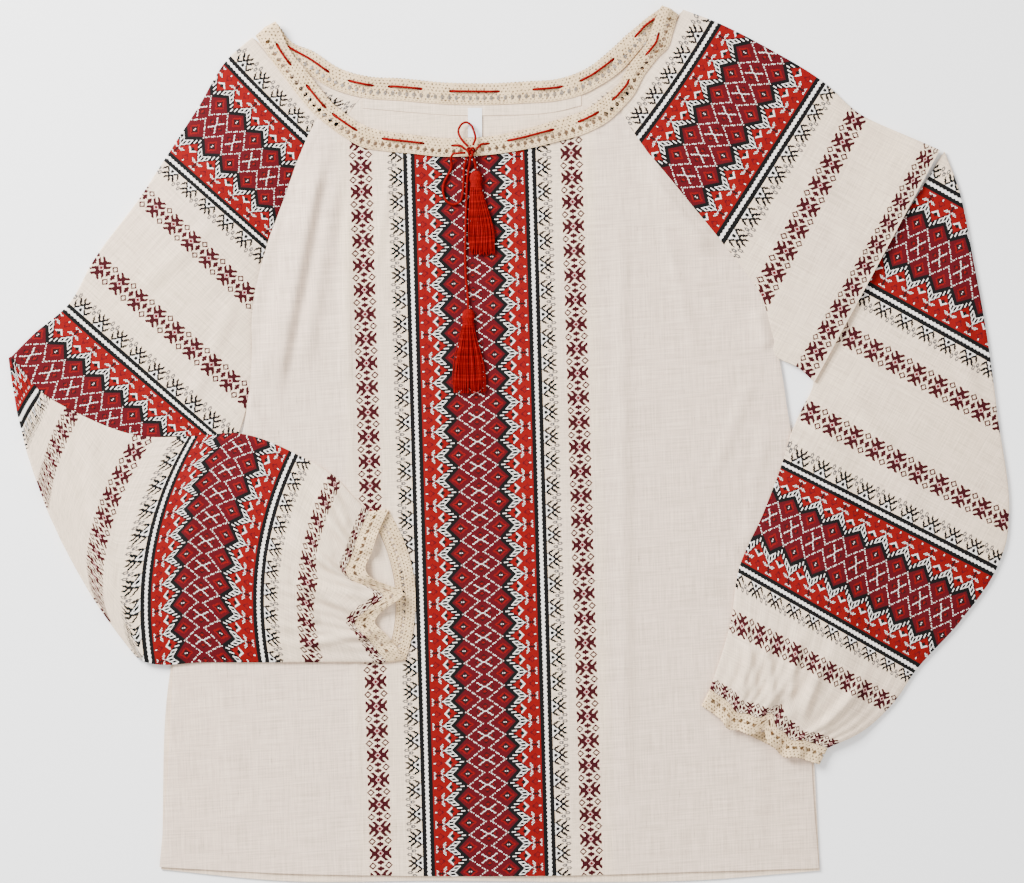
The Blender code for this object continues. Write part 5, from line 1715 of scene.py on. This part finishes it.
    def head(self, size: Tassel, name: str, material: bpy.types.Material) -> bpy.types.Object:
        """Head of the tassel, with the thread wound round its neck."""
        t = np.linspace(0, 1, 34)
        turn = np.linspace(0, 2 * np.pi, 41)[:-1]
        share = np.interp(t, [0, 0.06, 0.25, 0.55, 0.72, 0.86, 1.0],
                          [0.30, 0.62, 0.92, 1.0, 0.82, 0.80, 0.92])
        neck = ease((t - 0.62) / 0.06) * ease((0.92 - t) / 0.06)
        ribs = 1 + 0.035 * np.cos(turn * 15)[None] * (1 - neck)[:, None] \
            + 0.05 * (np.abs(np.sin(t * 34))[:, None] - 0.5) * neck[:, None]
        x = size.x + self.width / 2 * share[:, None] * ribs * np.cos(turn)[None]
        z = self.base + self.deep / 2 + self.deep / 2 * share[:, None] * ribs * np.sin(turn)[None]
        y = (size.top + (size.neck - 1.0 - size.top) * t)[:, None] + 0 * x
        verts = in_frame(x, y, z).reshape(-1, 3)
        i, j = np.meshgrid(np.arange(33), np.arange(40), indexing="ij")
        i, j = i.ravel(), j.ravel()
        ci = np.stack([i, i, i + 1, i + 1], axis=1)
        cj = np.stack([j, j + 1, j + 1, j], axis=1)
        caps = [[k, 39 - k, 38 - k, k + 1] for k in range(19)]
        ends = np.array(caps + [[33 * 40 + c for c in reversed(cap)] for cap in caps])
        quads = np.concatenate([(ci * 40 + cj % 40)[:, ::-1], ends[:, ::-1]])
        cut = np.stack([ci * 0.4, cj * 0.3], axis=-1) * MM
        cut = np.concatenate([cut[:, ::-1], np.zeros((len(ends), 4, 2))])
        return make_object(f"{name}_head", verts, quads, cut, material)


def merge(name: str, parts: list[bpy.types.Object]) -> bpy.types.Object:
    """Join objects into the last one and name it."""
    bpy.ops.object.select_all(action="DESELECT")
    for part in parts:
        part.select_set(True)
    bpy.context.view_layer.objects.active = parts[-1]
    bpy.ops.object.join()
    joined = bpy.context.view_layer.objects.active
    joined.name = name
    joined.select_set(False)
    return joined


@dataclass
class Studio:
    """Pale floor, soft light from the upper left and a camera straight above."""

    camera_at: tuple[float, float, float] = (0.00253, 0.001885, 3.0)
    lens: float = 131.8
    key: float = 210.0
    fill: float = 25.0
    sky: float = 0.95

    def light(self, name: str, at: tuple[float, float, float], size: float, power: float) -> None:
        """Area light that points at the middle of the garment."""
        lamp = bpy.data.lights.new(name, "AREA")
        lamp.size = size
        lamp.energy = power
        thing = bpy.data.objects.new(name, lamp)
        thing.location = at
        thing.rotation_euler = (-Vector(at)).to_track_quat("-Z", "Y").to_euler()
        bpy.context.scene.collection.objects.link(thing)

    def build(self) -> None:
        """Set the floor, lights, sky and camera."""
        verts = np.array([[-4, -4, -0.0006], [4, -4, -0.0006], [4, 4, -0.0006], [-4, 4, -0.0006]])
        floor = make_object("floor", verts, np.array([[0, 1, 2, 3]]), np.zeros((1, 4, 2)),
                            PaleFloor().make())
        self.light("key", (-1.5, 1.3, 1.5), 1.1, self.key)
        self.light("fill", (1.4, -0.9, 2.0), 2.2, self.fill)
        world = bpy.data.worlds.new("sky")
        world.use_nodes = True
        sky = world.node_tree.nodes["Background"]
        sky.inputs[0].default_value = (1.0, 1.0, 1.0, 1.0)
        sky.inputs[1].default_value = self.sky
        bpy.context.scene.world = world
        camera = bpy.data.cameras.new("camera")
        camera.lens = self.lens
        camera.sensor_width = 36.0
        thing = bpy.data.objects.new("camera", camera)
        thing.location = self.camera_at
        bpy.context.scene.collection.objects.link(thing)
        bpy.context.scene.camera = thing


def no_ground(x: np.ndarray, y: np.ndarray) -> np.ndarray:
    """A stretch that lies on the surface itself."""
    return np.zeros_like(x)


def lower_ground(x: np.ndarray, y: np.ndarray) -> np.ndarray:
    """Height under the right sleeve's lower stretch, which lies on the side of the body."""
    side = np.array(BODY_SIDE)[::-1]
    across = 1 - ease((x - np.interp(y, side[:, 1], side[:, 0]) - 25.0) / 30.0)
    return LAYER * across * ease((20.0 - y) / 10.0)


def flap_ground(x: np.ndarray, y: np.ndarray) -> np.ndarray:
    """Height under the right sleeve's flap, which lies on the stretch that it covers."""
    outer, inner = RIGHT_UPPER[-1].outer, RIGHT_UPPER[-1].front
    off = ((inner.y - outer.y) * (x - outer.x)
           - (inner.x - outer.x) * (y - outer.y)) / math.dist(outer, inner)
    return LAYER * (1 - ease((off - 12.0) / 36.0))


def left_sleeve() -> Sleeve:
    """Upper arm on the surface, one fold, and the forearm on top of it."""
    stations = [Station(ruling, 0.0, 0.0) for ruling in LEFT_UPPER]
    crease = LEFT_UPPER[-1]
    stations += [Station(crease._replace(puff=0), math.pi * k / 8, 0.0) for k in range(1, 8)]
    for k, ruling in enumerate(LEFT_LOWER):
        stations.append(Station(ruling, math.pi, 1.8 * float(ease(np.array((k - 4) / 3)))))
    folds = [Crease(Point(-112, -142), Point(-176, -106), 7, 3.2),
             Crease(Point(-118, -122), Point(-160, -84), 6, 2.8),
             Crease(Point(-124, -92), Point(-158, -34), 6, 3.0),
             Crease(Point(-104, -152), Point(-168, -160), 6, 2.6),
             Crease(Point(-128, -70), Point(-150, -22), 5, 2.2),
             Crease(Point(-200, -82), Point(-170, -112), 7, 2.4),
             Crease(Point(-172, -108), Point(-154, -146), 6, 2.6),
             Crease(Point(-340, 20), Point(-318, -120), 12, 1.4),
             Crease(Point(-250, -4), Point(-262, -150), 12, 1.1),
             Crease(Point(-232, 180), Point(-300, 120), 12, 1.6),
             Crease(Point(-218, 120), Point(-262, 20), 10, 1.4)]
    return Sleeve(stations, 6.0, no_ground, 4.0, gather_from=len(stations) - 5.0, folds=folds,
                  pleats=((0.56, 0.085, -25.0), (0.36, 0.07, 4.0), (0.74, 0.06, 5.0)))


def right_sleeves() -> tuple[Sleeve, Sleeve]:
    """Flap from the neck to the pleat, and the stretch that comes out below it."""
    upper = [Station(ruling, 0.0, 0.0) for ruling in RIGHT_UPPER]
    lower = [Station(ruling, 0.0, 1.8 * float(ease(np.array((k - 8) / 3))))
             for k, ruling in enumerate(RIGHT_LOWER)]
    flap_folds = [Crease(Point(150, 280), Point(226, 120), 10, 1.4),
                  Crease(Point(230, 240), Point(300, 110), 12, 1.2)]
    folds = [Crease(Point(209, -212), Point(204, -156), 5, 3.0),
             Crease(Point(184, -204), Point(190, -160), 5, 2.6),
             Crease(Point(196, -208), Point(186, -140), 5, 2.4),
             Crease(Point(231, -224), Point(250, -166), 6, 3.0),
             Crease(Point(244, -232), Point(284, -190), 6, 2.6),
             Crease(Point(220, -218), Point(230, -150), 5, 2.4),
             Crease(Point(262, 60), Point(330, -60), 14, 1.6),
             Crease(Point(250, -20), Point(300, -110), 13, 1.4),
             Crease(Point(350, 150), Point(372, 20), 11, 1.3)]
    return (Sleeve(upper, 6.0, flap_ground, 5.0, folds=flap_folds),
            Sleeve(lower, 0.0, lower_ground, 6.0, gather_from=len(lower) - 5.0, folds=folds,
                   pleats=((0.5, 0.05, 9.0), (0.27, 0.06, -4.0), (0.75, 0.06, -4.0)),
                   plane=(375.0, 390.0, 62.0, -0.488, -0.873), plane_to=5.0))


def main() -> None:
    """Build the blouse and its studio."""
    logging.basicConfig(level=logging.INFO, format="%(asctime)s %(message)s")
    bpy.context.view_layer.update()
    body_linen = Linen("body_linen", side_from=106.0, only=120.0).make()
    sleeve_linen = Linen("sleeve_linen", ground=(0.79, 0.62, 0.44)).make()
    plain = Linen("plain_linen", banded=False).make()
    lace = Crochet("crochet_lace").make()
    yarn = Yarn("red_yarn").make()
    LOG.info("finishes ready")

    panels = BodyPanels()
    front = panels.front(body_linen)
    back = panels.back(plain)
    facing = panels.facing(plain)
    label = panels.label(PlainTape("label_tape").make())
    LOG.info("body panels")

    left = left_sleeve()
    upper, lower = right_sleeves()
    arms = ((left, "left_sleeve_cloth", "sleeve_left", Held.FOLDED),
            (upper, "right_flap_cloth", "sleeve_right_upper", Held.FOLDED),
            (lower, "right_sleeve_cloth", "sleeve_right_lower", Held.LAID))
    for sleeve, name, node, held in arms:
        piece = sleeve.cloth(name, sleeve_linen, node)
        width, length, area = sleeve.size()
        LOG.info("%s: flat %.3f x %.3f m, %.4f m2", name, width, length, area)

    collar = NeckLace()
    strip = collar.build(lace)
    for sleeve, reach, name, node in ((left, 16.0, "left_cuff_lace", "cuff_lace_left"),
                                      (lower, 15.0, "right_cuff_lace", "cuff_lace_right")):
        cuff = CuffLace(sleeve, reach)
        piece = cuff.build(name, lace, node)
    LOG.info("lace")

    ties = Ties(collar)
    knot = ties.knot(yarn)
    ties.tassel(TASSEL_UPPER, 3, "upper_tassel", yarn, "tassel_upper")
    low_tassel = ties.tassel(TASSEL_LOWER, 8, "lower_tassel", yarn, "tassel_lower")
    drawn = (("neck_cord", ties.route(), "drawstring", "knot", [knot]),
             ("loop_top", LOOP_TOP, "cord_loop_top", "object", []),
             ("loop_left", LOOP_LEFT, "cord_loop_left", "object", []),
             ("tail_long", TAIL_LONG + [Spot(-34.2, 99.0, 5.6), Spot(-34.2, 90.0, 5.6)],
              "cord_tail_long", "fitting", [low_tassel]))
    for name, route, node, far_end, pieces in drawn:
        piece, path = ties.cord(name, route, yarn, node)
        line = in_frame(path[:, 0], path[:, 1], path[:, 2])
        LOG.info("%s: %.3f m", name, length_of(path))

    Studio().build()


if __name__ == "__main__":
    main()
